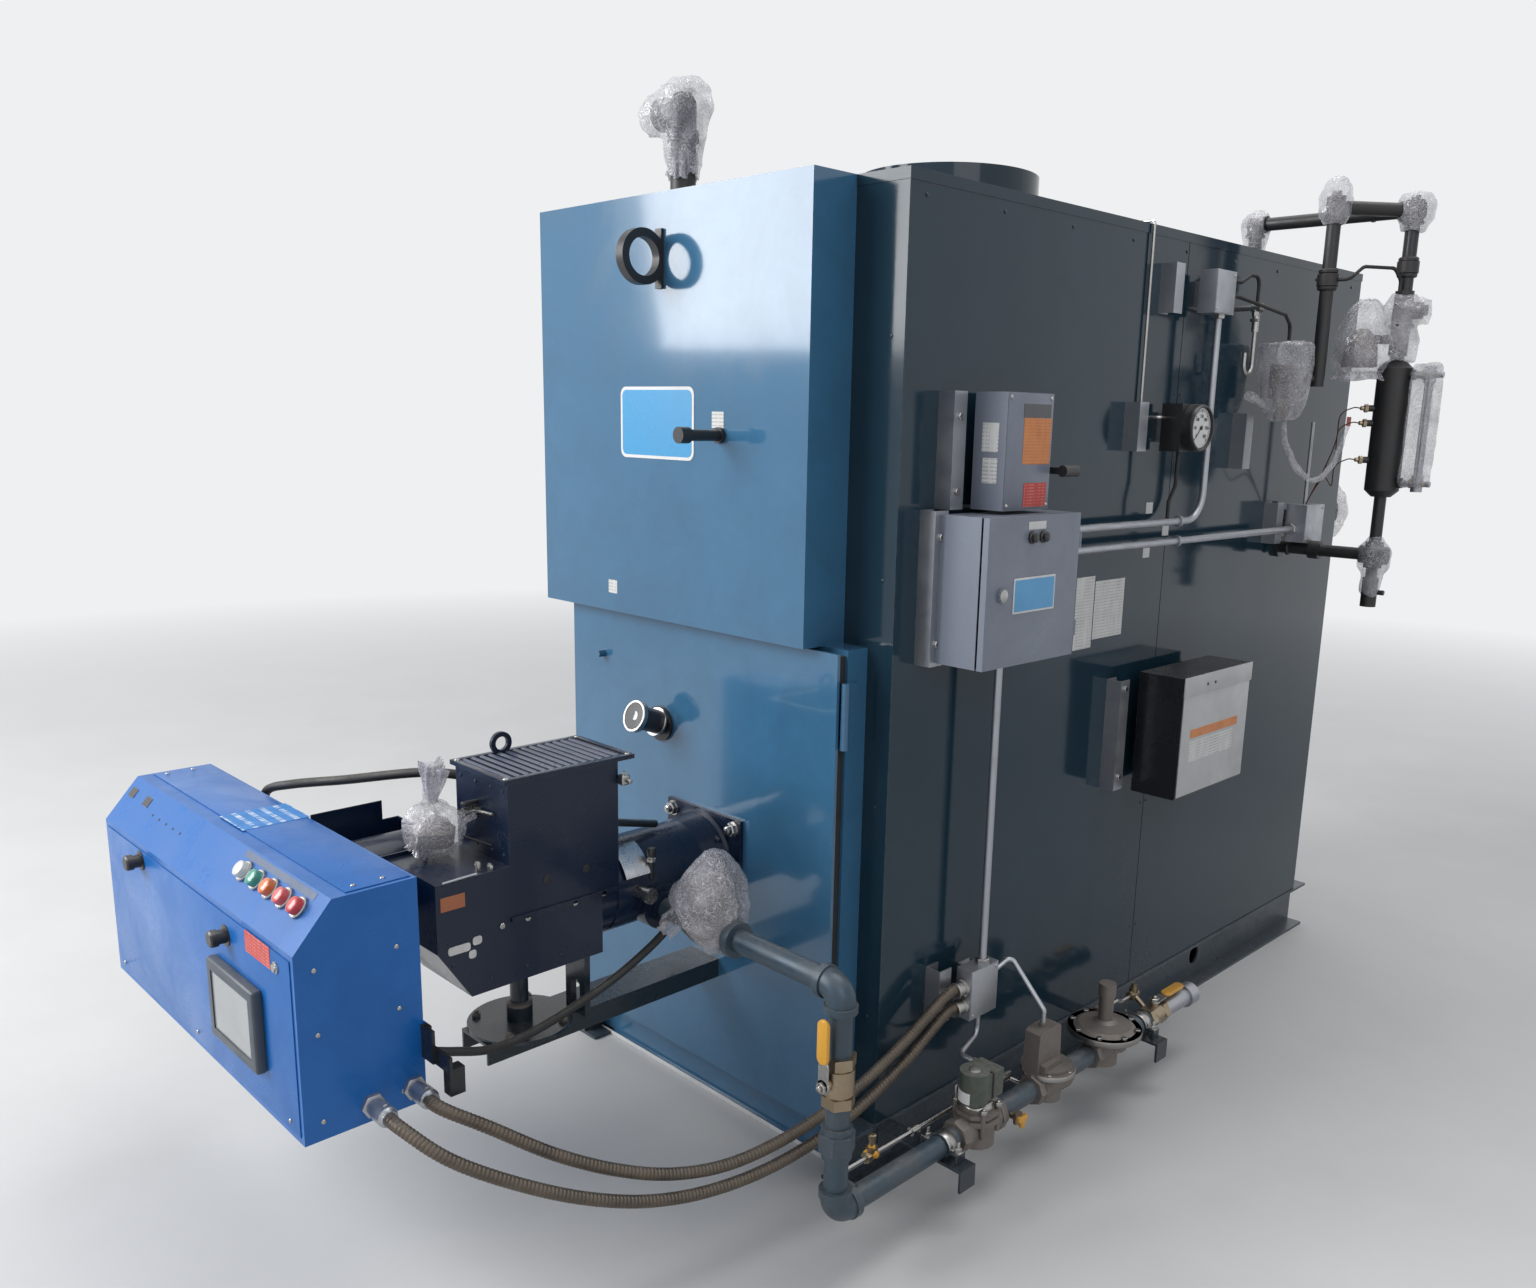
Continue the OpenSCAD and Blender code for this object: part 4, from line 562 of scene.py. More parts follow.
PLASTICS = (     # name, colour, roughness, coat, dust
    ("black plastic", (0.016, 0.016, 0.018), 0.32, 0.1, 0.25),
    ("dark window", (0.008, 0.012, 0.020), 0.10, 0.6, 0.25),
    ("screen glass", (0.30, 0.32, 0.33), 0.14, 0.5, 0.10),
    ("screen bezel", (0.06, 0.075, 0.095), 0.40, 0.0, 0.25),
    # white print also makes the painted reflection under the front skirt
    ("white print and painted reflection", (0.72, 0.72, 0.71), 0.45, 0.0, 0.25),
    ("dial face", (0.68, 0.69, 0.68), 0.35, 0.6, 0.05),
    ("blue grey print", (0.055, 0.10, 0.19), 0.35, 0.0, 0.25),
    ("orange label", (0.42, 0.14, 0.06), 0.35, 0.0, 0.25),
    ("port glass", (0.10, 0.12, 0.13), 0.06, 0.9, 0.10),
    ("brown wire", (0.10, 0.035, 0.018), 0.45, 0.0, 0.25),
    ("blue plate", (0.045, 0.32, 0.62), 0.25, 0.4, 0.25),
    ("red lamp", (0.62, 0.03, 0.035), 0.20, 0.6, 0.25),
    ("pink lamp", (0.70, 0.10, 0.10), 0.20, 0.6, 0.25),
    ("orange lamp", (0.72, 0.16, 0.03), 0.20, 0.6, 0.25),
    ("green lamp", (0.04, 0.30, 0.22), 0.20, 0.6, 0.25),
    ("white lamp", (0.70, 0.70, 0.68), 0.20, 0.6, 0.25),
)


def make_finishes():
    """All materials of the boiler, from the colours in the panel."""
    p = paints()
    painted("jacket paint", p.jacket, 0.10, 0.12, wave_depth=0.004, wear=0.2, dust=0.10, shine=0.30)
    painted("front paint", p.front, 0.12, 0.5, wave_depth=0.004, wear=0.15, dust=0.10, shine=0.4)
    painted("cabinet paint", p.cabinet, 0.30, 0.10, grain_depth=0.00001, wear=0.15, dust=0.08, low=0.1,
            shine=0.35, bracket=CABINET_X + 0.0005)
    painted("burner paint", p.burner, 0.26, 0.12, grain_depth=0.00001, wear=0.25, dust=0.10, low=0.1,
            shine=0.35)
    painted("skid paint", p.skid, 0.30, 0.2, wear=0.4, low=0.8, shine=0.35)
    painted("support paint", p.support, 0.24, 0.2, wear=0.4, dust=0.15, low=0.2, shine=0.4)
    painted("coil paint", p.coil, 0.4, 0.1, dust=0.5, low=0.6)
    painted("enclosure paint", p.enclosure, 0.34, 0.1, wear=0.2, dust=0.2, low=0.0, under=(0.5, 0.5, 0.5))
    painted("slot shadow", (0.004, 0.005, 0.010), 0.6, 0.0, wear=0.0, dust=0.05, shine=0.1)
    # painted highlight: the louvre blades are a lighter copy of the housing's dark blue, for the light on
    # them
    painted("blade paint with painted highlight", (0.055, 0.075, 0.135), 0.28, 0.2, dust=0.15)
    painted("black box paint", (0.012, 0.013, 0.016), 0.25, 0.2, wear=0.3, dust=0.1, low=0.0)
    painted("pale flap", (0.50, 0.51, 0.51), 0.38, 0.1, wear=0.2, dust=0.2, low=0.0)
    metal("gas pipe", p.pipe, 0.38, 0.25, stain=(0.10, 0.09, 0.085), stained=0.35, wear=0.6,
          bright=(0.22, 0.24, 0.26), dust=0.5)
    metal("black iron", p.iron, 0.40, 0.35, stain=(0.055, 0.038, 0.028), stained=0.45,
          bright=(0.12, 0.12, 0.125))
    metal("brass", p.brass, 0.34, stain=(0.22, 0.15, 0.09), stained=0.6)
    metal("grey casting", p.cast, 0.50, 0.55, 180.0, 0.0004, stain=(0.15, 0.12, 0.10), stained=0.5)
    metal("zinc coat", p.zinc, 0.36, 0.85, 70.0, 0.00012, stain=(0.26, 0.25, 0.24), stained=0.35)
    metal("flexible sleeve", p.sleeve, 0.42, 0.5, stained=0.5, wear=0.3, bright=(0.30, 0.27, 0.24))
    metal("bright steel", (0.42, 0.42, 0.42), 0.26, stained=0.35)
    metal("silver label", (0.62, 0.62, 0.63), 0.28, wear=0.1)
    metal("machined rim", (0.34, 0.33, 0.32), 0.30, stain=(0.16, 0.14, 0.12), stained=0.4)
    plastic("yellow coating", p.yellow, 0.35, 0.3)
    plastic("black rubber", (0.012, 0.012, 0.013), 0.6, depth=0.0001)
    for row in PLASTICS:
        plastic(*row)
    paper_finish("lid print", (0.030, 0.20, 0.52), (0.62, 0.68, 0.76), 36.0, "Y", 0.9)
    paper_finish("printed paper", (0.66, 0.66, 0.64))
    paper_finish("orange strip", (0.66, 0.25, 0.08), (0.45, 0.1, 0.04), 160.0)
    paper_finish("red strip", (0.55, 0.05, 0.04), (0.6, 0.35, 0.3), 160.0)
    film_finish("wrapping film", p.film)


def edges(node):
    """Least and greatest corner of a frame piece."""
    lo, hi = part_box(node)
    return Vector(lo), Vector(hi)


CARRIED = {
    "jacket paint": ("boiler_block", "side_panels", "end_panels", "top_cap", "flue_collar"),
    "front paint": ("front_skirt", "lower_front_box", "burner_door", "upper_cover_box", "door_hinges"),
    "cabinet paint": ("burner_cabinet",),
    "burner paint": ("burner_tube", "burner_housing", "air_grille", "fan_tray"),
    "skid paint": ("skid_rails", "skid_cross_members"),
    "support paint": ("burner_support", "pipe_feet"),
    "gas pipe": ("gas_pipe_upper", "gas_pipe_main"),
    "bright steel": ("pilot_line", "pressure_piping"),
    "black iron": ("steam_pipe", "column_piping", "water_column"),
    "brass": ("ball_valves",),
    "grey casting": ("shutoff_valve", "gas_actuator", "gas_regulator"),
    "coil paint": ("solenoid_coil",),
    "zinc coat": ("junction_boxes", "conduit_runs", "wall_struts", "gauge_glass", "gas_inlet_pipe"),
    "enclosure paint": ("enclosure_body", "enclosure_door", "switch_box"),
    "black box paint": ("document_box",),
    "black rubber": ("door_gasket", "control_cables"),
    "black plastic": ("lifting_ring", "cover_handle", "switch_lever", "pressure_gauge", "sight_port"),
}


class BOILER_OT_frame_finishes(bpy.types.Operator):
    """Gives each carried frame piece its finish"""
    bl_idname = "boiler.frame_finishes"
    bl_label = "Frame finishes"

    def execute(self, context):
        make_groups()
        make_finishes()
        for name, nodes in CARRIED.items():
            for node in nodes:
                obj = NODES[node]
                obj.data.materials.clear()
                obj.data.materials.append(FINISHES[name])
        return {"FINISHED"}


def crumple(obj, depth, seed, necks=()):
    """Film folds: broad planes, long sharp creases, and pleats that run out from each tied neck."""
    shift = Vector((seed * 3.1, seed * 1.7, seed * 2.3))
    normals = [v.normal.copy() for v in obj.data.vertices]
    for v, n in zip(obj.data.vertices, normals):
        p = v.co.copy()
        q = Vector((p.x, p.y, p.z * 0.45))      # folds run upwards more than across
        lump = noise.noise(q * 12.0 + shift)
        bend = Vector((lump, -lump, lump)) * 0.8
        ridge = 1.0 - abs(noise.noise(q * 24.0 + shift + bend)) * 3.4
        fine = 1.0 - abs(noise.noise(q * 60.0 + shift - bend)) * 3.2
        push = depth * (0.80 * lump + 0.40 * ridge + 0.12 * fine - 0.25)
        for at, axis, reach, pleats in necks:
            axis = Vector(axis).normalized()
            off = p - Vector(at)
            near = max(0.0, 1.0 - off.length / reach)
            if near:
                u = axis.orthogonal().normalized()
                a = math.atan2(off.dot(axis.cross(u)), off.dot(u))
                push += near * 0.006 * math.sin(pleats * a + seed)
        v.co = p + n * push


def draw_in(obj, pulls):
    """Draws the film towards corners of what it covers: each pull has its spot, reach and move."""
    for v in obj.data.vertices:
        p = v.co.copy()
        for at, reach, move in pulls:
            near = max(0.0, 1.0 - (p - Vector(at)).length / reach)
            v.co += Vector(move) * near * near * (3 - 2 * near)


def film_over(obj, name, depth, seed, necks=(), keep=0.30, pulls=()):
    """Turns a closed shape into a crumpled bag of film with facets between its folds."""
    mod = obj.modifiers.new("skin", "REMESH")
    mod.mode = "VOXEL"
    mod.voxel_size = sizes().voxel
    apply_mods(obj)
    draw_in(obj, pulls)
    crumple(obj, depth, seed, necks)
    mod = obj.modifiers.new("facets", "DECIMATE")
    mod.ratio = keep
    apply_mods(obj)
    return finish(obj, name, "wrapping film", smooth=32)


def frill(base, axis, steps, pleats, depth, seed):
    """Gathered mouth of a bag: an open sleeve in pleats that widen towards its free edge."""
    obj = turned(ORIGIN, UP, steps, 84, fill=False)
    high = steps[-1][0]
    for v in obj.data.vertices:
        h = v.co.z / high
        a = math.atan2(v.co.y, v.co.x)
        wave = math.sin(pleats * a + seed) + 0.5 * math.sin((2 * pleats + 1) * a + 2.1 * seed)
        k = 1.0 + depth * h * wave
        v.co.x *= k
        v.co.y *= k
        v.co.z += high * 0.14 * h * math.sin(3 * a + seed)
    mod = obj.modifiers.new("film", "SOLIDIFY")
    mod.thickness = 0.0005
    apply_mods(obj)
    return stand(obj, base, axis)


class BOILER_OT_film_bags(bpy.types.Operator):
    """Crumpled film left over the open fittings, valves and switches"""
    bl_idname = "boiler.film_bags"
    bl_label = "Film bags"

    # Piece, depth of its folds, and its tied necks: spot, direction, reach and number of pleats.
    BAGS = (
        ("jacket_wraps", 1.15, (((*STEAM, 2.215), UP, 0.13, 9),)),
        ("burner_wraps", 0.90, (((*AIR_SWITCH, 0.940), UP, 0.08, 11),
                                ((0.206, -1.404, 0.598), (0.65, 0.24, 0.73), 0.13, 8),
                                ((0.322, -1.375, 0.602), UP, 0.10, 9))),
        ("column_wraps", 0.75, (((*PROBE, 2.020), UP, 0.12, 9), ((0.620, 0.405, 1.700), UP, 0.10, 9))),
    )
    # Where the film is drawn to a corner of what it covers: spot, reach and move.
    PULLS = {
        "jacket_wraps": (((-0.190, -0.980, 2.400), 0.09, (0.006, 0.0, 0.010)),
                         ((-0.250, -0.980, 2.260), 0.05, (0.0, 0.0, 0.004))),
        "burner_wraps": (((0.270, -1.430, 0.620), 0.11, (0.018, 0.012, 0.030)),
                         ((0.245, -1.330, 0.640), 0.10, (0.020, -0.010, 0.020)),
                         ((0.400, -1.340, 0.720), 0.09, (-0.016, -0.006, 0.010)),
                         ((0.330, -1.390, 0.800), 0.07, (0.012, 0.0, 0.016)),
                         ((0.260, -1.420, 0.780), 0.08, (0.014, 0.014, -0.016)),
                         ((*AIR_SWITCH, 0.930), 0.05, (0.0, 0.0, -0.008))),
        "column_wraps": (((*COLUMN, 2.330), 0.07, (0.0, 0.0, -0.012)),
                         ((*RISER, 2.330), 0.07, (0.0, 0.0, 0.006)),
                         ((*PROBE, 2.000), 0.08, (0.006, 0.0, 0.010))),
    }

    def execute(self, context):
        fold = sizes().crumple
        for seed, (node, gain, necks) in enumerate(self.BAGS):
            name = node + "_film"
            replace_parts(film_over(copy_of(node, name), name, fold * gain, seed + 1, necks,
                                  pulls=self.PULLS[node]), node)
        self.frills()
        self.sleeves(fold)
        self.fittings()
        return {"FINISHED"}

    def frills(self):
        """Loose mouths past the ties, and the twisted strand under the control bag."""
        made = [frill((*AIR_SWITCH, 0.932), (0.16, 0.05, 1), [(0, 0.011), (0.015, 0.013), (0.040, 0.019),
                                                              (0.075, 0.024)], 6, 0.26, 1.0),
                frill((0.004, -1.842, 0.872), (-0.1, -0.3, -1),
                      [(0, 0.010), (0.012, 0.010), (0.040, 0.022)], 5, 0.3, 2.0),
                frill((*PROBE, 1.838), DOWN, [(0, 0.055), (0.010, 0.060), (0.022, 0.064)], 9, 0.10, 4.0)]
        finish(made, "film_frills", "wrapping film", smooth=50)
        strands = []
        for seed, r, depth, route in (
                (5, 0.009, 0.006, ((0.622, 0.425, 1.700), (0.628, 0.430, 1.650), (0.645, 0.455, 1.590),
                                   (0.668, 0.490, 1.552), (0.684, 0.520, 1.543), (0.700, 0.560, 1.570),
                                   (0.712, 0.595, 1.630), (0.718, 0.615, 1.690))),
                (6, 0.012, 0.008, ((0.600, 0.404, 1.712), (0.594, 0.370, 1.732), (0.588, 0.320, 1.752),
                                   (0.584, 0.280, 1.765)))):
            strands.append(tube(route, r, 12))
            crumple(strands[-1], depth, seed)
        finish(strands, "film_strands", "wrapping film", smooth=40)
        tag = block((0.716, 0.612, 1.690), (0.7175, 0.640, 1.716), 0.0004, 1)
        finish(tag, "red_tag", "red strip")

    def sleeves(self, fold):
        """Film wound round the gauge glass, and round the cross and drain under the column."""
        glass = block((0.862, 0.632, 1.530), (0.932, 0.700, 1.862), 0.012, 3)
        film_over(glass, "gauge_glass_film", fold * 0.45, 7, keep=0.5)
        cross = turned((*COLUMN, 1.214), UP,
                       [(0, 0.014), (0.020, 0.026), (0.070, 0.030), (0.090, 0.044), (0.140, 0.046),
                        (0.165, 0.026), (0.180, 0.020)], 24)
        film_over(cross, "cross_film", fold * 0.5, 8, keep=0.5)

    def fittings(self):
        """Dark fittings that show through the film."""
        x, y = COLUMN
        z = 2.256                       # height of the pipe over the jacket's top
        foot, collar = z - 0.034, [(0, 0.027), (0.006, 0.027), (0.008, 0.024)]
        tees = [turned((x - 0.034, y, z), RIGHT,
                       [(0, 0.027), (0.004, 0.027), (0.006, 0.024), (0.058, 0.024)], 24),
                turned((x, y, foot), UP, collar + [(0.060, 0.024), (0.062, 0.012), (0.072, 0.012)], 24),
                turned((*RISER, foot), UP, collar + [(0.062, 0.024), (0.064, 0.013), (0.074, 0.013)], 24),
                turned((0.371, y, foot), UP, collar + [(0.052, 0.022)], 24),
                turned((0.371, y, z), RIGHT, [(-0.020, 0.020), (0.034, 0.024)], 24),
                turned((x, y, 1.880), UP, [(0, 0.024), (0.070, 0.024), (0.074, 0.032), (0.082, 0.032),
                                           (0.086, 0.026), (0.170, 0.024)], 24),
                turned((x, y, 1.998), RIGHT,
                       [(0, 0.022), (0.050, 0.022), (0.052, 0.014), (0.062, 0.014)], 24)]
        finish(tees, "column_tees", "black iron")
        riser = [turned((*STEAM, 2.270), UP, [(0, 0.030), (0.030, 0.030), (0.032, 0.037), (0.056, 0.037),
                                              (0.060, 0.031), (0.120, 0.031), (0.138, 0.020)], 28),
                 turned((*STEAM, 2.370), LEFT, [(0, 0.030), (0.050, 0.030), (0.052, 0.037), (0.078, 0.037),
                                                (0.080, 0.024)], 28)]
        finish(riser, "steam_elbow", "black iron")
        switch = turned((*AIR_SWITCH, 0.872), UP,
                        [(-0.030, 0.020), (-0.026, 0.040), (0.004, 0.044), (0.008, 0.038),
                         (0.022, 0.030), (0.026, 0.012)], 32)
        finish(switch, "air_switch", "grey casting")
        valve = [turned((0.270, -1.375, 0.640), RIGHT,
                        [(0, 0.034), (0.020, 0.034), (0.024, 0.040), (0.064, 0.040),
                         (0.068, 0.034), (0.100, 0.034)], 32),
                 block((0.290, -1.405, 0.672), (0.350, -1.345, 0.742), 0.006, 3),
                 turned((0.320, -1.375, 0.738), UP, [(0, 0.022), (0.020, 0.020), (0.024, 0.014)], 24)]
        finish(valve, "gas_butterfly", "grey casting")
        control = [block((0.588, 0.378, 1.760), (0.650, 0.436, 1.850), 0.006, 3),
                   turned((0.620, 0.405, 1.706), UP, [(0, 0.016), (0.022, 0.022), (0.060, 0.026)], 24)]
        finish(control, "pressure_control", "grey casting")
        probe = turned((*PROBE, 1.850), UP, [(0, 0.046), (0.050, 0.042), (0.085, 0.030), (0.100, 0.012)], 32)
        finish(probe, "probe_housing", "grey casting")
        disc = turned((0.436, 1.068, 1.420), BACK,
                      [(0, 0.030), (0.060, 0.030), (0.064, 0.070), (0.080, 0.070),
                       (0.084, 0.026), (0.130, 0.024)], 32)
        finish(disc, "rear_flange", "black iron")


class BOILER_OT_cabinet_fittings(bpy.types.Operator):
    """Lamps, screen, knobs, print and screws of the burner cabinet"""
    bl_idname = "boiler.cabinet_fittings"
    bl_label = "Cabinet fittings"

    DROP, RUN = 0.085, 0.073        # height and depth of the sloping strip along the top

    def execute(self, context):
        lo, hi = edges("burner_cabinet")
        y0, z1 = lo.y, hi.z
        self.lamps(y0, z1)
        knobs = [turned((x, y0, z), FRONT, [(0, 0.021), (0.004, 0.021), (0.005, 0.014), (0.018, 0.0135),
                                            (0.019, 0.0165), (0.031, 0.0165), (0.034, 0.013)], 24)
                 for x, z in ((-0.562, 0.741), (-0.103, 0.721))]
        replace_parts(finish(knobs, "cabinet_knobs", "black plastic"), "cabinet_lights")
        self.screen(y0)
        door = block((lo.x + 0.012, y0 - 0.0022, lo.z + 0.012),
                     (CABINET_X - 0.012, y0, z1 - self.DROP - 0.012), 0.0012, 2)
        finish(door, "cabinet_front_panel", "cabinet paint")
        lid = block((lo.x + 0.010, y0 + self.RUN + 0.030, z1),
                    (CABINET_X - 0.010, hi.y - 0.036, z1 + 0.0022), 0.0012, 2)
        finish(lid, "cabinet_lid", "cabinet paint")
        sheet = block((-0.375, y0 + 0.098, z1 + 0.0022), (-0.255, y0 + 0.233, z1 + 0.0028), 0.0002, 1)
        finish(sheet, "lid_print", "lid print")
        self.slope_marks(y0, z1)
        tag = block((-0.009, y0 - 0.0032, 0.722), (0.100, y0 - 0.0020, 0.764), 0.0006, 1)
        finish(tag, "red_print", "red strip")
        key = turned((0.123, y0 - 0.0015, 0.735), FRONT, [(0, 0.011), (0.003, 0.011), (0.004, 0.008),
                                                          (0.007, 0.0075), (0.008, 0.003)], 20)
        finish(key, "key_switch", "bright steel")
        screws = [screw((CABINET_X, y, z), RIGHT) for y in (y0 + 0.035, hi.y - 0.075)
                  for z in (lo.z + 0.035, lo.z + 0.20, z1 - 0.12)]
        screws += [screw((x, y0 - 0.0022, lo.z + 0.030), FRONT)
                   for x in (lo.x + 0.05, -0.30, CABINET_X - 0.05)]
        screws += [screw((x, y, z1 + 0.0022), UP) for x in (lo.x + 0.03, CABINET_X - 0.03)
                   for y in (-2.060, -2.005)]
        finish(screws, "cabinet_screws", "bright steel")
        self.glands()
        return {"FINISHED"}

    def slope(self, y0, z1):
        """Normal of the sloping strip, and its points by their share of the way down."""
        def spot(x, down):
            return Vector((x, y0 + (1 - down) * self.RUN, z1 - down * self.DROP))

        return Vector((0, -self.DROP, self.RUN)).normalized(), spot

    def lamps(self, y0, z1):
        """Row of five lamps on the sloping strip."""
        normal, spot = self.slope(y0, z1)
        for i, tone in enumerate(("white", "green", "orange", "pink", "red")):
            foot = spot(-0.116 + 0.059 * i, 0.36)
            ring = turned(foot, normal,
                          [(0, 0.0205), (0.005, 0.0205), (0.0065, 0.0185), (0.0065, 0.0165)], 32)
            finish(ring, "lamp_ring_%d" % (i + 1), "bright steel")
            lens = turned(foot, normal, [(0.003, 0.016), (0.014, 0.016), (0.0185, 0.0145), (0.0205, 0.011),
                                         (0.0212, 0.005), (0.0212, POINT)], 32)
            finish(lens, "lamp_lens_%d" % (i + 1), tone + " lamp")

    def slope_marks(self, y0, z1):
        """Print over the lamps, two windows and small lights on the sloping strip."""
        normal, spot = self.slope(y0, z1)
        lean = Matrix.Rotation(-math.atan2(self.RUN, self.DROP), 4, "X")
        strip = hold(block((-0.156, -0.0006, 0), (0.145, 0, 0.014), 0.0002, 1),
                     Matrix.Translation(spot(0, 0.16)) @ lean)
        finish(strip, "lamp_print", "blue grey print")
        windows = [hold(block((x, -0.0012, 0), (x + 0.034, 0, 0.022), 0.0005, 1),
                        Matrix.Translation(spot(0, 0.40)) @ lean) for x in (-0.770, -0.680)]
        dots = [turned(spot(x, 0.45), normal, [(0, 0.003), (0.0008, 0.0028)], 10)
                for x in (-0.600, -0.560, -0.520, -0.480, -0.440)]
        finish(windows + dots, "slope_windows", "dark window")

    def screen(self, y0):
        """Operator screen: a framed panel with a sunk face and its pale glass."""
        x0, x1, z0, z1 = -0.165, 0.052, 0.505, 0.666
        rim = block((x0, y0 - 0.022, z0), (x1, y0, z1), 0.007, 3)
        choose(rim, "FACE", lambda f: f.normal.y < -0.99 and f.area > 0.01)
        bpy.ops.mesh.inset(thickness=0.014, depth=0)
        bpy.ops.mesh.extrude_region_move(TRANSFORM_OT_translate={"value": (0, 0.004, 0)})
        bpy.ops.object.mode_set(mode="OBJECT")
        finish(rim, "screen_frame", "screen bezel", smooth=25)
        glass = block((x0 + 0.021, y0 - 0.0195, z0 + 0.021), (x1 - 0.021, y0 - 0.017, z1 - 0.021), 0.0008, 1)
        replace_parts(finish(glass, "screen_glass", "screen glass"), "cabinet_screen")

    def glands(self):
        """Gland, clamp and screw at the start of each conduit, and the nuts of the hoses."""
        x, made = CABINET_X, []
        for y, z in GLANDS:
            made += [hex_nut((x, y, z), RIGHT, 0.040, 0.011),
                     turned((x + 0.010, y, z), RIGHT,
                            [(0, 0.0165), (0.016, 0.0165), (0.019, 0.0190), (0.050, 0.0190),
                             (0.053, 0.0165), (0.060, 0.0150)], 24),
                     screw((x + 0.044, y, z + 0.0185), UP),
                     block((x + 0.036, y - 0.004, z + 0.017), (x + 0.052, y + 0.004, z + 0.021), 0.0008, 1)]
        made += [hex_nut((-0.575, -1.955, 0.700), BACK, 0.036, 0.010),
                 hex_nut((-0.036, -1.700, 0.940), LEFT, 0.036, 0.010)]
        finish(made, "conduit_glands", "zinc coat")


def screw(base, axis, r=None):
    """Round head with a shallow dome, of the common size where none is given."""
    r = r or sizes().screw
    return turned(base, axis, [(0, r), (r * 0.25, r), (r * 0.5, r * 0.8), (r * 0.62, r * 0.35)], 12)


def wrap_label(base, axis, r, from_deg, to_deg, high):
    """Thin label bent round a cylinder, cut from a sleeve between two angles."""
    put_down()
    bpy.ops.mesh.primitive_cylinder_add(vertices=96, radius=r, depth=high, end_fill_type="NOTHING",
                                        location=(0, 0, high / 2))
    obj = bpy.context.object
    settle()

    def turn_of(face):
        return math.degrees(math.atan2(face.center.y, face.center.x)) % 360

    choose(obj, "FACE", lambda f: not from_deg <= turn_of(f) <= to_deg)
    bpy.ops.mesh.delete(type="FACE")
    bpy.ops.object.mode_set(mode="OBJECT")
    mod = obj.modifiers.new("sheet", "SOLIDIFY")
    mod.thickness = sizes().label
    mod.offset = 1.0
    apply_mods(obj)
    return stand(obj, base, axis)


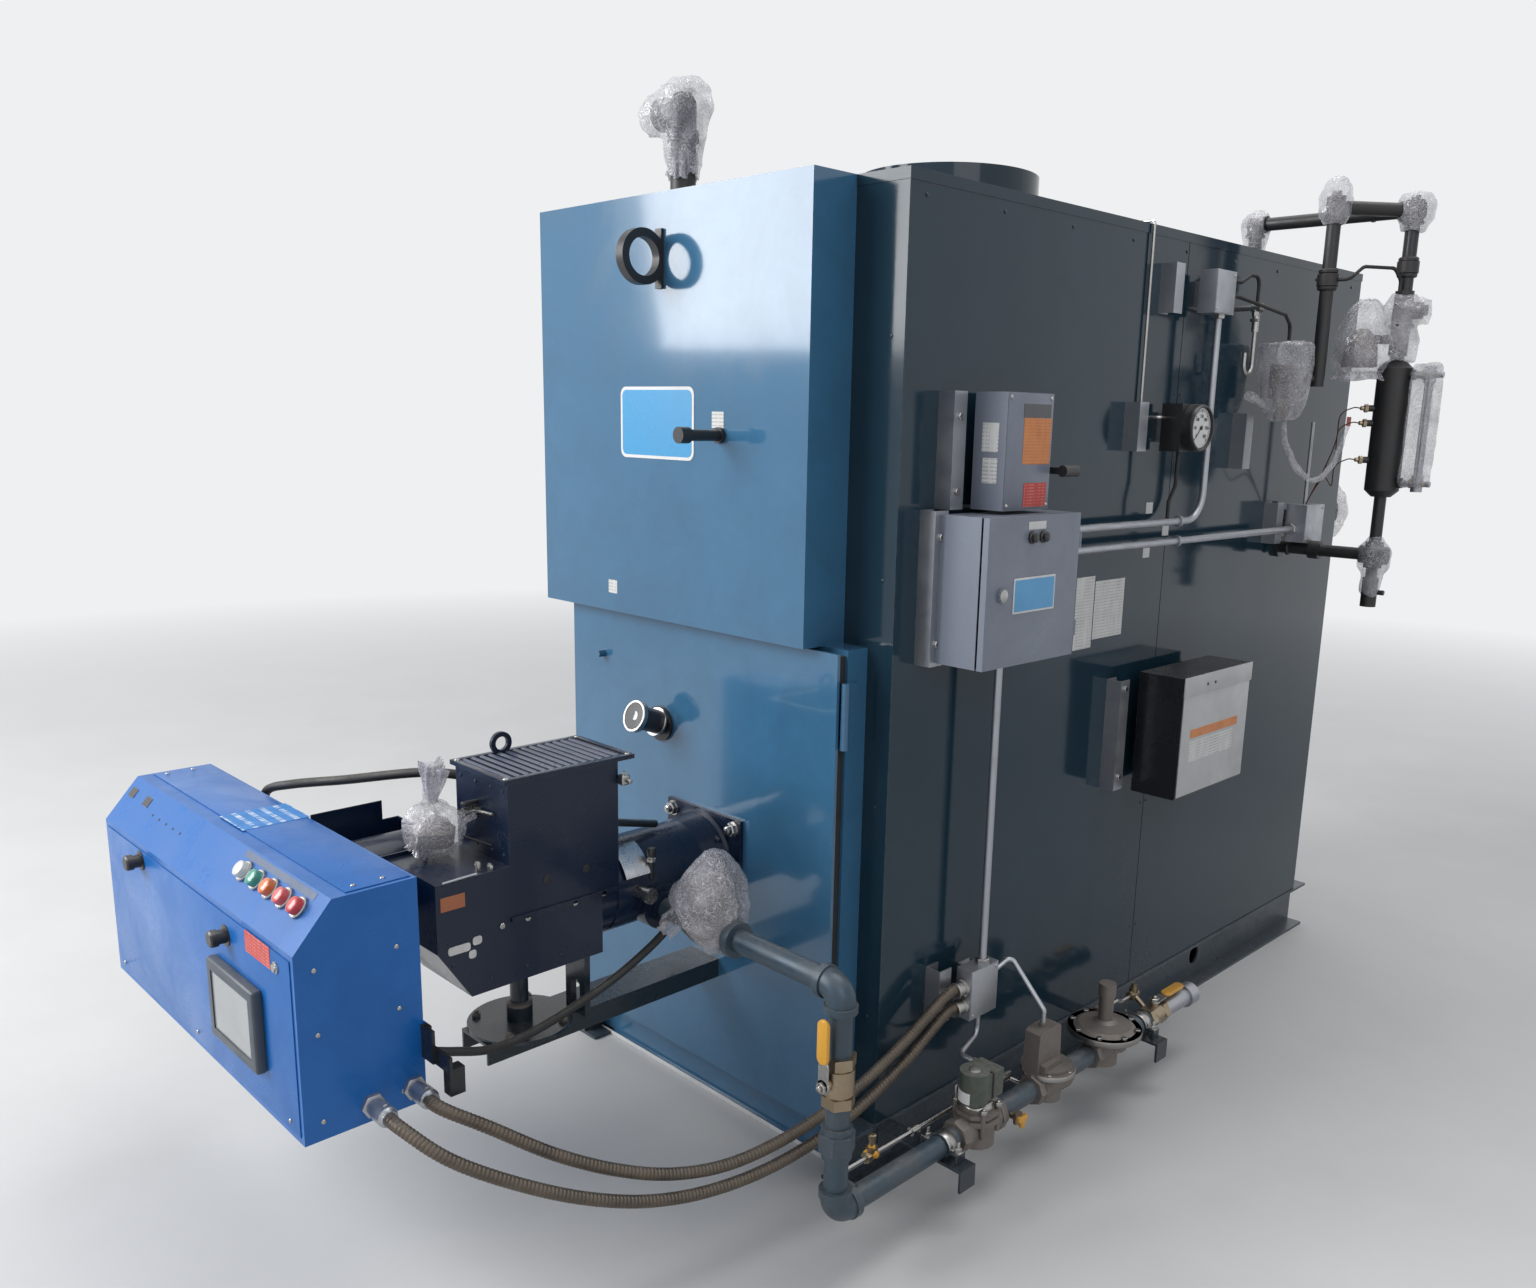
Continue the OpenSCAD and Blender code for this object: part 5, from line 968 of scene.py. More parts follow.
class BOILER_OT_burner_fittings(bpy.types.Operator):
    """Flange nuts, bolts, shafts, small valves and print of the burner"""
    bl_idname = "boiler.burner_fittings"
    bl_label = "Burner fittings"

    def execute(self, context):
        flange_y = edges("burner_tube")[1].y - 0.010
        corners = [(TUBE_AXIS[0] + sx * 0.106, flange_y, TUBE_AXIS[1] + sz * 0.106) for sx in (-1, 1)
                   for sz in (-1, 1)]
        nuts = [hex_nut(at, FRONT, 0.028, 0.015, 0.0095, 0.3 if at[0] > TUBE_AXIS[0] else -0.3)
                for at in corners]
        nuts += [turned(at, FRONT, [(0, 0.018), (0.0025, 0.018)], 24) for at in corners]
        finish(nuts, "flange_nuts", "bright steel")
        bolts = [hex_nut((HOUSING_X, y, z), RIGHT, 0.011, 0.005) for y, z in
                 ((-1.765, 0.702), (-1.707, 0.702), (-1.595, 0.704), (-1.524, 0.706))]
        bolts += [screw((x, y, HOUSING_TOP), UP, 0.006) for x in (-0.032, 0.149) for y in (-1.742, -1.453)]
        finish(bolts, "housing_bolts", "bright steel")
        plugs = [turned((HOUSING_X, y, 0.770), RIGHT, [(0, 0.009), (0.001, 0.009), (0.0015, 0.007)], 20)
                 for y in (-1.659, -1.565)]
        finish(plugs, "housing_plugs", "black rubber")
        rivets = [screw((x, -1.744, z), FRONT, 0.004) for x in (-0.016, 0.040, 0.096, 0.138)
                  for z in (0.836, 0.965)]
        rivets += [screw((HOUSING_X, y, 0.600 if y > -1.83 else 0.650), RIGHT, 0.004)
                   for y in (-1.87, -1.79, -1.71, -1.63, -1.56)]
        finish(rivets, "housing_rivets", "burner paint")
        self.levers()
        self.prints()
        self.grille()
        self.turntable()
        return {"FINISHED"}

    def levers(self):
        """Damper shafts, the hand valve by the bag and the rod over the tube."""
        steel = [rod((0.140, -1.476, 0.945), (0.190, -1.476, 0.945), 0.005, edge=0.0008),
                 block((0.158, -1.486, 0.934), (0.176, -1.466, 0.956), 0.003, 3),
                 hex_nut((0.167, -1.476, 0.956), UP, 0.009, 0.005),
                 turned((0.040, -1.744, 0.905), FRONT,
                        [(0, 0.011), (0.006, 0.011), (0.008, 0.008), (0.020, 0.008),
                         (0.022, 0.010), (0.030, 0.010)], 20),
                 rod((0.046, -1.752, 0.908), (0.112, -1.750, 0.914), 0.0035),
                 turned((0.096, -1.484, 0.838), (0, 1, -0.2),
                        [(0, 0.011), (0.012, 0.011), (0.014, 0.009)], 20),
                 turned((0.150, -1.392, 0.742), UP,
                        [(0, 0.010), (0.006, 0.010), (0.007, 0.007), (0.010, 0.007)], 16),
                 turned((0.150, -1.432, 0.687), RIGHT,
                        [(0, 0.014), (0.040, 0.014), (0.042, 0.017), (0.052, 0.017)], 20),
                 rod((0.139, -1.802, 0.818), (0.139, -1.802, 0.838), 0.005, edge=0.001),
                 hex_nut((0.120, -1.792, 0.818), UP, 0.013, 0.009, 0.004),
                 hex_nut((0.142, -1.778, 0.818), UP, 0.011, 0.008, 0.004)]
        finish(steel, "burner_small_parts", "bright steel")
        dark = [block((0.034, -1.776, 0.918), (0.047, -1.734, 0.927), 0.003, 3),
                rod((0.040, -1.756, 0.905), (0.040, -1.756, 0.922), 0.005),
                rod((0.098, -1.478, 0.836), (0.070, -1.318, 0.790), 0.0085, edge=0.001),
                turned((0.150, -1.392, 0.700), UP,
                       [(0, 0.006), (0.052, 0.006), (0.054, 0.009), (0.064, 0.010),
                        (0.072, 0.008)], 16),
                rod((0.050, -1.782, 0.862), (0.096, -1.746, 0.846), 0.002)]
        finish(dark, "burner_dark_parts", "black plastic")
        edge = rod((HOUSING_X, -1.887, 0.8195), (HOUSING_X, -1.815, 0.8215), 0.0022, 10)
        finish(edge, "housing_edge_rod", "zinc coat")

    def prints(self):
        """Bare labels on the scroll and the tube, and slotted plates."""
        label = block((HOUSING_X, -1.893, 0.763), (HOUSING_X + 0.001, -1.842, 0.791), 0.0004, 1)
        finish(label, "burner_print", "orange label")
        finish(wrap_label((0.057, -1.398, 0.678), FRONT, 0.1055, 24, 67, 0.064), "tube_label", "silver label")
        plates = [hold(rounded_plate((0, y1 - y0), (0, 0.017), 0.006, 0, 0.0012),
                       Matrix.Translation((HOUSING_X, y0, z - 0.008)) @ Matrix.Rotation(math.pi / 2, 4, "Z"))
                  for y0, y1, z in ((-1.881, -1.834, 0.680), (-1.829, -1.809, 0.687),
                                    (-1.838, -1.822, 0.662))]
        finish(plates, "slotted_plates", "silver label")

    def grille(self):
        """Pressed frame strips round the louvres, a dark sheet of painted shade in the slots under them, and
        their blades, painted lighter than the housing for the light on them.
        """
        lo, hi = edges("air_grille")
        top, strip, rim, count = HOUSING_TOP, 0.014, 0.015, 14
        strips = [block((x0, y0, top), (x1, y1, top + 0.0015), 0.0008, 2) for x0, x1, y0, y1 in
                  ((lo.x, lo.x + strip, lo.y, hi.y), (hi.x - strip, hi.x, lo.y, hi.y),
                   (lo.x + strip, hi.x - strip, lo.y, lo.y + strip),
                   (lo.x + strip, hi.x - strip, hi.y - strip, hi.y))]
        finish(strips, "grille_frame", "burner paint")
        # painted shade: a near black sheet just under the louvres' top stands for the shade in the slots
        slot_shade_sheet = block((lo.x + rim, lo.y + rim, top - 0.0016),
                     (hi.x - rim, hi.y - rim, top - 0.0003), 0.0004, 1)
        finish(slot_shade_sheet, "grille_slot_shade", "slot shadow")
        step = (hi.y - lo.y - 0.036) / count
        lean = Matrix.Rotation(math.radians(20), 4, "X")
        # the blades take a lighter paint than the housing, a painted highlight
        blades = [hold(block((lo.x + rim, -0.0035, -0.0004), (hi.x - rim, 0.0035, 0.0004), 0.0003, 1),
                       Matrix.Translation((0, lo.y + 0.022 + k * step, top + 0.0008)) @ lean)
                  for k in range(count)]
        finish(blades, "grille_blades", "blade paint with painted highlight")

    def turntable(self):
        """Pivot bolts of the swing arm's round plate, and the nut of its post."""
        x, y, z = 0.057, -1.669, 0.437
        made = [hex_nut((x + 0.092 * math.cos(a), y + 0.092 * math.sin(a), z), UP, 0.017, 0.009, 0.005)
                for a in (0.7, 2.4, 3.9, 5.5)]
        made.append(turned((x, y, z + 0.033), UP, [(0, 0.027), (0.006, 0.027), (0.009, 0.022)], 28))
        finish(made, "turntable_bolts", "grey casting")


def lobed_handle(base, axis):
    """Small three lobed turn handle."""
    obj = turned(ORIGIN, UP, [(0, 0.012), (0.002, 0.014), (0.008, 0.014), (0.010, 0.011)], 36)
    for v in obj.data.vertices:
        k = 1.0 + 0.32 * math.cos(3 * math.atan2(v.co.y, v.co.x))
        v.co.x *= k
        v.co.y *= k
    return stand(obj, base, axis)


class BOILER_OT_valve_levers(bpy.types.Operator):
    """The two levers of the gas valves: steel shank, dipped yellow grip and nut"""
    bl_idname = "boiler.valve_levers"
    bl_label = "Valve levers"

    def execute(self, context):
        front = Matrix.Translation((0.700, -1.416, 0.452))
        rear = Matrix.Translation((0.700, -0.164, 0.207)) @ Matrix.Rotation(-math.pi / 2, 4, "X")
        self.lever("front", "front_valve_lever", front)
        self.lever("rear", "rear_valve_lever", rear)
        return {"FINISHED"}

    def lever(self, end, body, place):
        """Lever drawn flat round its stem, then moved to its valve."""
        node = "valve_lever_" + end
        grip = rounded_plate((-0.014, 0.014), (0.047, 0.138), 0.0138, 0, 0.009)
        bevel(grip, 0.0028, 3, 60)
        shank = [rounded_plate((-0.012, 0.012), (-0.012, 0.052), 0.0115, 0, 0.004),
                 turned(ORIGIN, FRONT, [(0, 0.015), (0.0035, 0.015), (0.004, 0.0145)], 28)]
        nut = hex_nut((0, -0.004, 0), FRONT, 0.021, 0.007, bore=0.006)
        for piece, name, tone in ((grip, "_grip", "yellow coating"), (join(shank), "_shank", "bright steel"),
                                  (nut, "_nut", "bright steel")):
            finish(hold(piece, place), node + name, tone, body)
            if name == "_grip":
                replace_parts(piece, node)


class BOILER_OT_gas_train_fittings(bpy.types.Operator):
    """Nuts, bolts, caps, clamps and small handles of the gas train"""
    bl_idname = "boiler.gas_train_fittings"
    bl_label = "Gas train fittings"

    def execute(self, context):
        x, z = TRAIN_X, TRAIN_Z
        bolts = [hex_nut((x + sx * 0.038, SHUTOFF_Y + sy * 0.0266, z + 0.052), UP, 0.014, 0.007, 0.004)
                 for sx in (-1, 1) for sy in (-1, 1)]
        foot = Vector((x - 0.038, SHUTOFF_Y - 0.0266, z + 0.052))
        bolts.append(rod(foot, foot + Vector((0, 0, 0.038)), 0.004, 12, 0.001))
        ring = [k * math.pi / 4 + 0.4 for k in range(8)]
        bolts += [hex_nut((x + 0.079 * math.cos(a), REGULATOR_Y + 0.079 * math.sin(a), z + 0.054),
                          UP, 0.013, 0.007) for a in ring]
        bolts += [screw((x + 0.056 * math.cos(a), ACTUATOR_Y + 0.056 * math.sin(a), z + 0.041), UP, 0.005)
                  for a in (0.1, -0.9, -2.2, 1.9, 2.8)]
        finish(bolts, "casting_bolts", "bright steel")
        rims = [turned((x, SHUTOFF_Y, z + 0.0515), UP,
                       [(0, 0.037), (0.004, 0.0355), (0.009, 0.029), (0.0115, 0.022)], 40),
                turned((x, REGULATOR_Y, z + 0.0395), UP,
                       [(0, 0.0905), (0.001, 0.0912), (0.013, 0.0912), (0.0145, 0.0905)], 64),
                turned((x, ACTUATOR_Y, z + 0.029), UP,
                       [(0, 0.0642), (0.001, 0.065), (0.010, 0.065), (0.0115, 0.064)], 56)]
        finish(rims, "casting_rims", "machined rim")
        collars = [turned((x, y + side * half, z), (0, side, 0),
                          [(-0.004, 0.037), (0.014, 0.037), (0.018, 0.034)], 8)
                   for y, half in ((SHUTOFF_Y, 0.060), (ACTUATOR_Y, 0.050), (REGULATOR_Y, 0.050))
                   for side in (-1, 1)]
        finish(collars, "valve_collars", "grey casting")
        bands = [turned((x, -1.375, high), UP, [(0, 0.0265), (0.006, 0.0272), (0.012, 0.0265)], 40)
                 for high in (0.405, 0.487)]
        finish(bands, "front_valve_bands", "brass")
        self.clamps(x, z)
        self.coil(x, SHUTOFF_Y, z)
        self.handles()
        return {"FINISHED"}

    def clamps(self, x, z):
        """Pipe clamps on the two feet: band, ears, bolts and nuts."""
        made = []
        for y in (-1.040, -0.236):
            made.append(turned((x, y - 0.012, z), BACK,
                               [(0, 0.0283), (0.001, 0.0290), (0.023, 0.0290), (0.024, 0.0283)], 40))
            for s in (-1, 1):
                ear, bolt = x + s * 0.040, x + s * 0.041
                made += [block((ear - 0.012, y - 0.011, z + 0.001),
                               (ear + 0.012, y + 0.011, z + 0.004), 0.001, 2),
                         rod((bolt, y, z - 0.030), (bolt, y, z + 0.024), 0.004, 12, 0.001),
                         hex_nut((bolt, y, z + 0.004), UP, 0.014, 0.007)]
        finish(made, "pipe_clamps", "bright steel")

    def coil(self, x, y, z):
        """Strap, label and nut of the solenoid coil on the shut-off valve."""
        foot = z + 0.068
        strap = block((x - 0.0335, y + 0.010, foot + 0.002), (x + 0.0335, y + 0.015, foot + 0.0645), 0.001, 2)
        finish(strap, "coil_strap", "black rubber")
        finish(wrap_label((x, y - 0.014, foot), UP, 0.0334, 222, 292, 0.026), "coil_label", "white print and painted reflection")
        nut = turned((x, y - 0.014, z + 0.136), UP, [(0, 0.014), (0.003, 0.013), (0.004, 0.009)], 24)
        finish(nut, "coil_nut", "bright steel")

    def handles(self):
        """Turn handles and stems of the small cocks."""
        lobes = [lobed_handle((0.643, -1.205, 0.200), (0.5, -0.8, 0.25)),
                 lobed_handle((0.752, -0.830, 0.164), RIGHT)]
        finish(lobes, "cock_handles", "yellow coating")
        stems = [turned((0.643, -1.205, 0.224), UP,
                        [(0, 0.008), (0.006, 0.009), (0.012, 0.009), (0.014, 0.006)], 6),
                 hex_nut((0.643, -1.225, 0.190), BACK, 0.022, 0.012),
                 hex_nut((0.643, -0.192, 0.210), BACK, 0.022, 0.012)]
        finish(stems, "cock_stems", "brass")


class BOILER_OT_box_fittings(bpy.types.Operator):
    """Lamps, labels, latches, lids and screws of the boxes on the control side"""
    bl_idname = "boiler.box_fittings"
    bl_label = "Box fittings"

    def execute(self, context):
        self.door()
        self.switch()
        self.documents()
        self.small_boxes()
        return {"FINISHED"}

    def door(self):
        """Lamps, plate and latch, which ride the control door."""
        body, x = "control_door", edges("enclosure_door")[1].x - 0.006
        lamps = [turned((x, y, 1.452), RIGHT, [(0, 0.013), (0.004, 0.013), (0.006, 0.0105), (0.012, 0.010),
                                               (0.014, 0.006)], 24) for y in (-0.833, -0.794)]
        finish(lamps, "door_lamps", "black plastic", body)
        for name, tone, x0, x1, y0, y1, z0, z1, edge in (
                ("door_lamp_print", "white print and painted reflection", 0, sizes().label, -0.846, -0.785, 1.468, 1.484, 0.0003),
                ("door_plate_border", "white print and painted reflection", 0, 0.0014, -0.887, -0.740, 1.298, 1.371, 0.0006),
                ("door_plate", "blue plate", 0.001, 0.0019, -0.883, -0.744, 1.302, 1.367, 0.0004)):
            finish(block((x + x0, y0, z0), (x + x1, y1, z1), edge, 1), name, tone, body)
        latch = turned((x + 0.006, -0.928, 1.340), RIGHT, [(0, 0.013), (0.002, 0.013), (0.003, 0.009)], 20)
        finish(latch, "door_latch", "bright steel", body)

    def switch(self):
        """Lid and bare labels of the disconnect, and the bolts of the channels."""
        lo, hi = edges("switch_box")
        side_x, thick = 0.651, sizes().label
        x = side_x + 0.0015
        lid = block((side_x - 0.001, lo.y + 0.002, lo.z + 0.002), (x, lo.y + 0.158, hi.z - 0.002), 0.0012, 2)
        finish(lid, "switch_lid", "enclosure paint")
        for name, tone, y0, y1, z0, z1 in (("switch_print_top", "dark window", -0.833, -0.737, 1.691, 1.718),
                                           ("switch_print", "orange strip", -0.830, -0.734, 1.597, 1.690),
                                           ("switch_print_red", "red strip", -0.820, -0.739, 1.510, 1.559)):
            finish(block((x, y0, z0), (x + thick, y1, z1), 0.0003, 1), name, tone)
        side = [block((0.592, lo.y - thick, 1.621), (0.633, lo.y, 1.679), 0.0003, 1),
                block((0.596, lo.y - thick, 1.558), (0.633, lo.y, 1.609), 0.0003, 1)]
        finish(side, "switch_side_print", "printed paper")
        bolts = [screw((x, y, z), RIGHT, 0.004) for y in (-0.877, -0.737) for z in (1.514, 1.730)]
        bolts += [hex_nut((0.571, y, z), RIGHT, 0.014, 0.005) for y, z in
                  ((-0.936, 1.690), (-0.936, 1.540), (-0.980, 1.450), (-0.980, 1.230), (-0.213, 1.030),
                   (-0.213, 0.800))]
        finish(bolts, "box_screws", "bright steel")

    def documents(self):
        """Flap, lip, bare labels and studs of the document box."""
        lo, hi = edges("document_box")
        x = hi.x
        flap = block((x - 0.001, lo.y + 0.004, lo.z + 0.006),
                     (x + 0.0014, hi.y - 0.004, hi.z - 0.002), 0.001, 2)
        finish(flap, "document_flap", "pale flap")
        lip = block((x, lo.y - 0.001, hi.z - 0.050), (x + 0.004, hi.y + 0.001, hi.z), 0.0015, 2)
        finish(lip, "document_lip", "pale flap")
        for name, tone, y0, y1, z0, z1 in (("document_strip", "orange strip", -0.096, 0.157, 0.905, 0.928),
                                           ("document_print", "printed paper", -0.098, 0.137, 0.842, 0.897)):
            finish(block((x + 0.0012, y0, z0), (x + 0.0020, y1, z1), 0.0003, 1), name, tone)
        studs = [screw((x + 0.004, y, 1.040), RIGHT, 0.004) for y in (-0.030, 0.010)]
        finish(studs, "document_studs", "black plastic")

    def small_boxes(self):
        """Cover plates with their screws, and the nuts of the conduits."""
        lids, screws = [], []
        for x, y0, y1, z0, z1 in ((0.613, -0.851, -0.751, 0.356, 0.474), (0.617, -0.011, 0.088, 1.955, 2.058),
                                  (0.630, 0.614, 0.734, 1.358, 1.466)):
            lids.append(block((x - 0.0005, y0 + 0.002, z0 + 0.002),
                              (x + 0.0018, y1 - 0.002, z1 - 0.002), 0.0012, 2))
            screws += [screw((x + 0.0018, y, z), RIGHT, 0.0035)
                       for y, z in ((y0 + 0.010, z0 + 0.010), (y1 - 0.010, z1 - 0.010))]
        finish(lids, "box_lids", "zinc coat")
        nuts = [hex_nut((CONDUIT_X, y, z), axis, 0.028, 0.010) for y, z, axis in
                ((-0.785, 0.474, UP), (-0.785, 1.190, DOWN), (0.060, 1.955, DOWN), (0.614, 1.396, FRONT),
                 (-0.657, 1.396, BACK), (-0.657, 1.446, BACK))]
        nuts += [turned((CONDUIT_X, -0.851, z), FRONT,
                        [(0, 0.020), (0.006, 0.020), (0.008, 0.0165), (0.026, 0.0165),
                         (0.028, 0.0185), (0.034, 0.0185)], 24) for z in (0.432, 0.388)]
        finish(screws + nuts, "box_nuts", "bright steel")


class BOILER_OT_pressure_dial(bpy.types.Operator):
    """Dial, ticks, numbers, needle and glass of the pressure gauge"""
    bl_idname = "boiler.pressure_dial"
    bl_label = "Pressure dial"

    START, SWEEP = 225, 270          # first mark and full turn of the scale, in degrees
    FACE = 0.0050                    # height of the print over the dial's foot

    def execute(self, context):
        lo, hi = edges("pressure_gauge")
        r = (hi.z - lo.z) / 2 - 0.001
        c = Vector((hi.x, hi.y - r, (lo.z + hi.z) / 2))
        rim = turned(c, RIGHT, [(-0.006, r * 0.99), (0.000, r), (0.008, r), (0.011, r * 0.97),
                                (0.011, r * 0.90), (0.004, r * 0.87)], 64)
        finish(rim, "gauge_rim", "black plastic", smooth=30)
        face = turned(c, RIGHT, [(0.0, r * 0.86), (0.0045, r * 0.86)], 64)
        finish(face, "gauge_face", "dial face")
        finish(self.ticks(c, r) + self.numbers(c, r), "gauge_scale", "black plastic", smooth=None)
        needle = hold(block((0.0055, -0.0012, -r * 0.16), (0.0063, 0.0012, r * 0.62), 0.0003, 1),
                      Matrix.Translation(c) @ Matrix.Rotation(math.radians(135), 4, "X"))
        hub = turned(c, RIGHT, [(0.005, r * 0.09), (0.008, r * 0.08), (0.009, r * 0.05)], 20)
        finish([needle, hub], "gauge_needle", "black plastic")
        return {"FINISHED"}

    def ticks(self, c, r):
        """Thirty small parts of the scale, every fifth mark longer and wider."""
        made = []
        for k in range(31):
            a = math.radians(self.START - self.SWEEP / 30 * k)
            inner, half = (0.66, 0.0009) if k % 5 == 0 else (0.72, 0.0004)
            foot = c + Vector((0, math.cos(a), math.sin(a))) * r * inner + Vector((self.FACE, 0, 0))
            made.append(hold(block((-0.0003, -half, 0), (0.0003, half, r * (0.80 - inner)), 0),
                             Matrix.Translation(foot) @ Matrix.Rotation(a - math.pi / 2, 4, "X")))
        return made

    def numbers(self, c, r):
        """Plain numbers from 0 to 300, read from the side the dial looks to."""
        upright = Matrix(((0, 0, 1, 0), (1, 0, 0, 0), (0, 1, 0, 0), (0, 0, 0, 1)))
        made = []
        for k in range(7):
            a = math.radians(self.START - self.SWEEP / 6 * k)
            put_down()
            bpy.ops.object.text_add()
            text = bpy.context.object.data
            text.body = str(k * 50)
            text.size = r * 0.20
            text.align_x = text.align_y = "CENTER"
            text.extrude = 0.0002
            bpy.ops.object.convert(target="MESH")
            spot = c + Vector((self.FACE, math.cos(a) * r * 0.50, math.sin(a) * r * 0.50))
            made.append(hold(bpy.context.object, Matrix.Translation(spot) @ upright))
        return made


class BOILER_OT_front_fittings(bpy.types.Operator):
    """Plate, tags, port rings, seams and screws of the jacket, cover box and burner door"""
    bl_idname = "boiler.front_fittings"
    bl_label = "Front fittings"

    def execute(self, context):
        self.cover()
        self.jacket()
        self.port()
        return {"FINISHED"}

    def cover(self):
        """Blue plate with its pale border, and two tags."""
        y, thick = edges("upper_cover_box")[0].y, sizes().label
        border = rounded_plate((-0.215, 0.045), (1.583, 1.741), 0.018, y, 0.0012)
        finish(border, "cover_plate_border", "white print and painted reflection")
        plate = rounded_plate((-0.208, 0.038), (1.590, 1.734), 0.014, y - 0.0012, 0.0006)
        finish(plate, "cover_plate", "blue plate")
        tags = [block((x0, y - thick, z0), (x1, y, z1), 0.0002, 1) for x0, x1, z0, z1 in
                ((0.104, 0.142, 1.655, 1.689), (-0.270, -0.236, 1.260, 1.292))]
        finish(tags, "cover_tags", "printed paper")

    def jacket(self):
        """Screws along the sheets' edges, papers and tags on the side, and a white strip at the floor under
        the skirt, a painted reflection of the sky on the edge there.
        """
        side = edges("side_panels")[1]
        x, thick = side.x, sizes().label
        screws = [screw((x, -1.018 + 0.252 * k, side.z - 0.042), RIGHT) for k in range(9)]
        screws += [screw((0.496, -1.068, 0.40 + 0.48 * k), FRONT, 0.004) for k in range(4)]
        screws += [screw((x, s * 0.014, 0.32 + 0.36 * k), RIGHT, 0.0035) for k in range(5) for s in (-1, 1)]
        screws.append(screw((x, -0.117, 1.645), RIGHT))
        finish(screws, "jacket_screws", "jacket paint")
        for name, tone, edge, spots in (
                ("jacket_papers", "printed paper", 0.0003,
                 ((-0.404, -0.324, 1.143, 1.320), (-0.320, -0.185, 1.162, 1.306))),
                ("wire_tags", "white print and painted reflection", 0.0002,
                 ((-0.110, -0.078, 1.462, 1.490), (-0.020, 0.012, 1.402, 1.430),
                  (-0.108, -0.076, 1.350, 1.378)))):
            finish([block((x, y0, z0), (x + thick, y1, z1), edge, 1) for y0, y1, z0, z1 in spots], name, tone)
        # painted reflection: a thin white strip along the floor under the skirt stands for the bright line of
        # sky light on the edge there
        foot = edges("front_skirt")[0]
        strip = block((foot.x + 0.004, foot.y - 0.0012, 0.001),
                      (edges("front_skirt")[1].x, foot.y + 0.0002, 0.012), 0.0004, 1)
        finish(strip, "skirt_edge_reflection", "white print and painted reflection")

    def port(self):
        """Bright rings and the glass of the sight port."""
        base, axis = Vector((-0.107, -1.158, 0.962)), Vector((0, -0.9397, 0.3420))
        rings = [turned(base + axis * 0.077, axis,
                        [(0, 0.0375), (0.002, 0.0380), (0.011, 0.0380), (0.012, 0.037),
                         (0.012, 0.0325), (0.009, 0.031)], 40),
                 turned(base + axis * 0.012, axis,
                        [(0, 0.0345), (0.001, 0.0352), (0.008, 0.0352), (0.009, 0.0345)], 40)]
        finish(rings, "port_rings", "bright steel")
        glass = turned(base + axis * 0.081, axis,
                       [(0, 0.031), (0.004, 0.031), (0.0065, 0.024), (0.0072, 0.008)], 32)
        finish(glass, "port_glass", "port glass")


class BOILER_OT_column_fittings(bpy.types.Operator):
    """Probe fittings, their wires, the glass cocks' handles and the union bands"""
    bl_idname = "boiler.column_fittings"
    bl_label = "Column fittings"

    def execute(self, context):
        self.probes()
        x, y = COLUMN
        bars = []
        for z in (1.540, 1.830):
            bars += [rod((0.926, y - 0.030, z), (0.926, y + 0.030, z), 0.004, 12, 0.001),
                     hex_nut((0.885, y, z), RIGHT, 0.024, 0.012)]
        finish(bars, "cock_bars", "brass")
        bands = [turned(base, axis, [(0, r), (0.003, r + 0.0025), (0.009, r + 0.0025), (0.012, r)], 32)
                 for base, axis, r in (((x, y, 2.125), UP, 0.023), ((x, y, 2.085), UP, 0.023),
                                       ((*RISER, 2.088), UP, 0.023), ((*RISER, 2.045), UP, 0.023),
                                       ((0.700, y, 2.256), RIGHT, 0.018), ((0.560, y, 1.337), RIGHT, 0.020))]
        finish(bands, "union_bands", "black iron")
        cock = [turned((0.600, 0.247, 1.962), UP,
                       [(0, 0.009), (0.004, 0.011), (0.020, 0.011), (0.024, 0.009)], 6),
                block((0.588, 0.236, 1.950), (0.612, 0.243, 1.958), 0.002, 2)]
        finish(cock, "siphon_cock", "bright steel")
        return {"FINISHED"}

    def probes(self):
        """Probe caps on the column, and their wires that meet at the junction box."""
        turn = math.radians(35)
        out = Vector((-math.cos(turn), -math.sin(turn), 0))
        caps, wires = [], []
        for z in (1.600, 1.700, 1.740):
            tip = Vector((*COLUMN, 0)) + out * 0.060 + Vector((0, 0, z))
            caps += [hex_nut(tip, out, 0.020, 0.010),
                     turned(tip + out * 0.010, out, [(0, 0.006), (0.008, 0.006), (0.010, 0.004)], 16)]
            end, rise = tip + out * 0.018, z - 1.6
            wires.append(tube((end, end + out * 0.022, end + out * 0.048 + Vector((-0.008, 0.010, -0.022)),
                               Vector((0.682, 0.640, z - 0.075 - 0.10 * rise)),
                               Vector((0.648, 0.664, 1.545 + 0.2 * rise)),
                               Vector((0.610, 0.674, 1.490)), Vector((0.600, 0.676, 1.466))), 0.0018, 8))
        finish(caps, "probe_caps", "brass")
        finish(wires, "probe_wires", "brown wire")


def rounded_plate(xs, zs, r, y, thick):
    """Flat plate with round corners on a face that looks towards -Y."""
    obj = block((xs[0], y - thick, zs[0]), (xs[1], y, zs[1]), 0)
    verts = obj.data.vertices
    choose(obj, "EDGE", lambda e: abs(verts[e.vertices[0]].co.y - verts[e.vertices[1]].co.y) > thick * 0.5)
    bpy.ops.mesh.bevel(offset=r, segments=6, affect="EDGES")
    bpy.ops.object.mode_set(mode="OBJECT")
    return obj


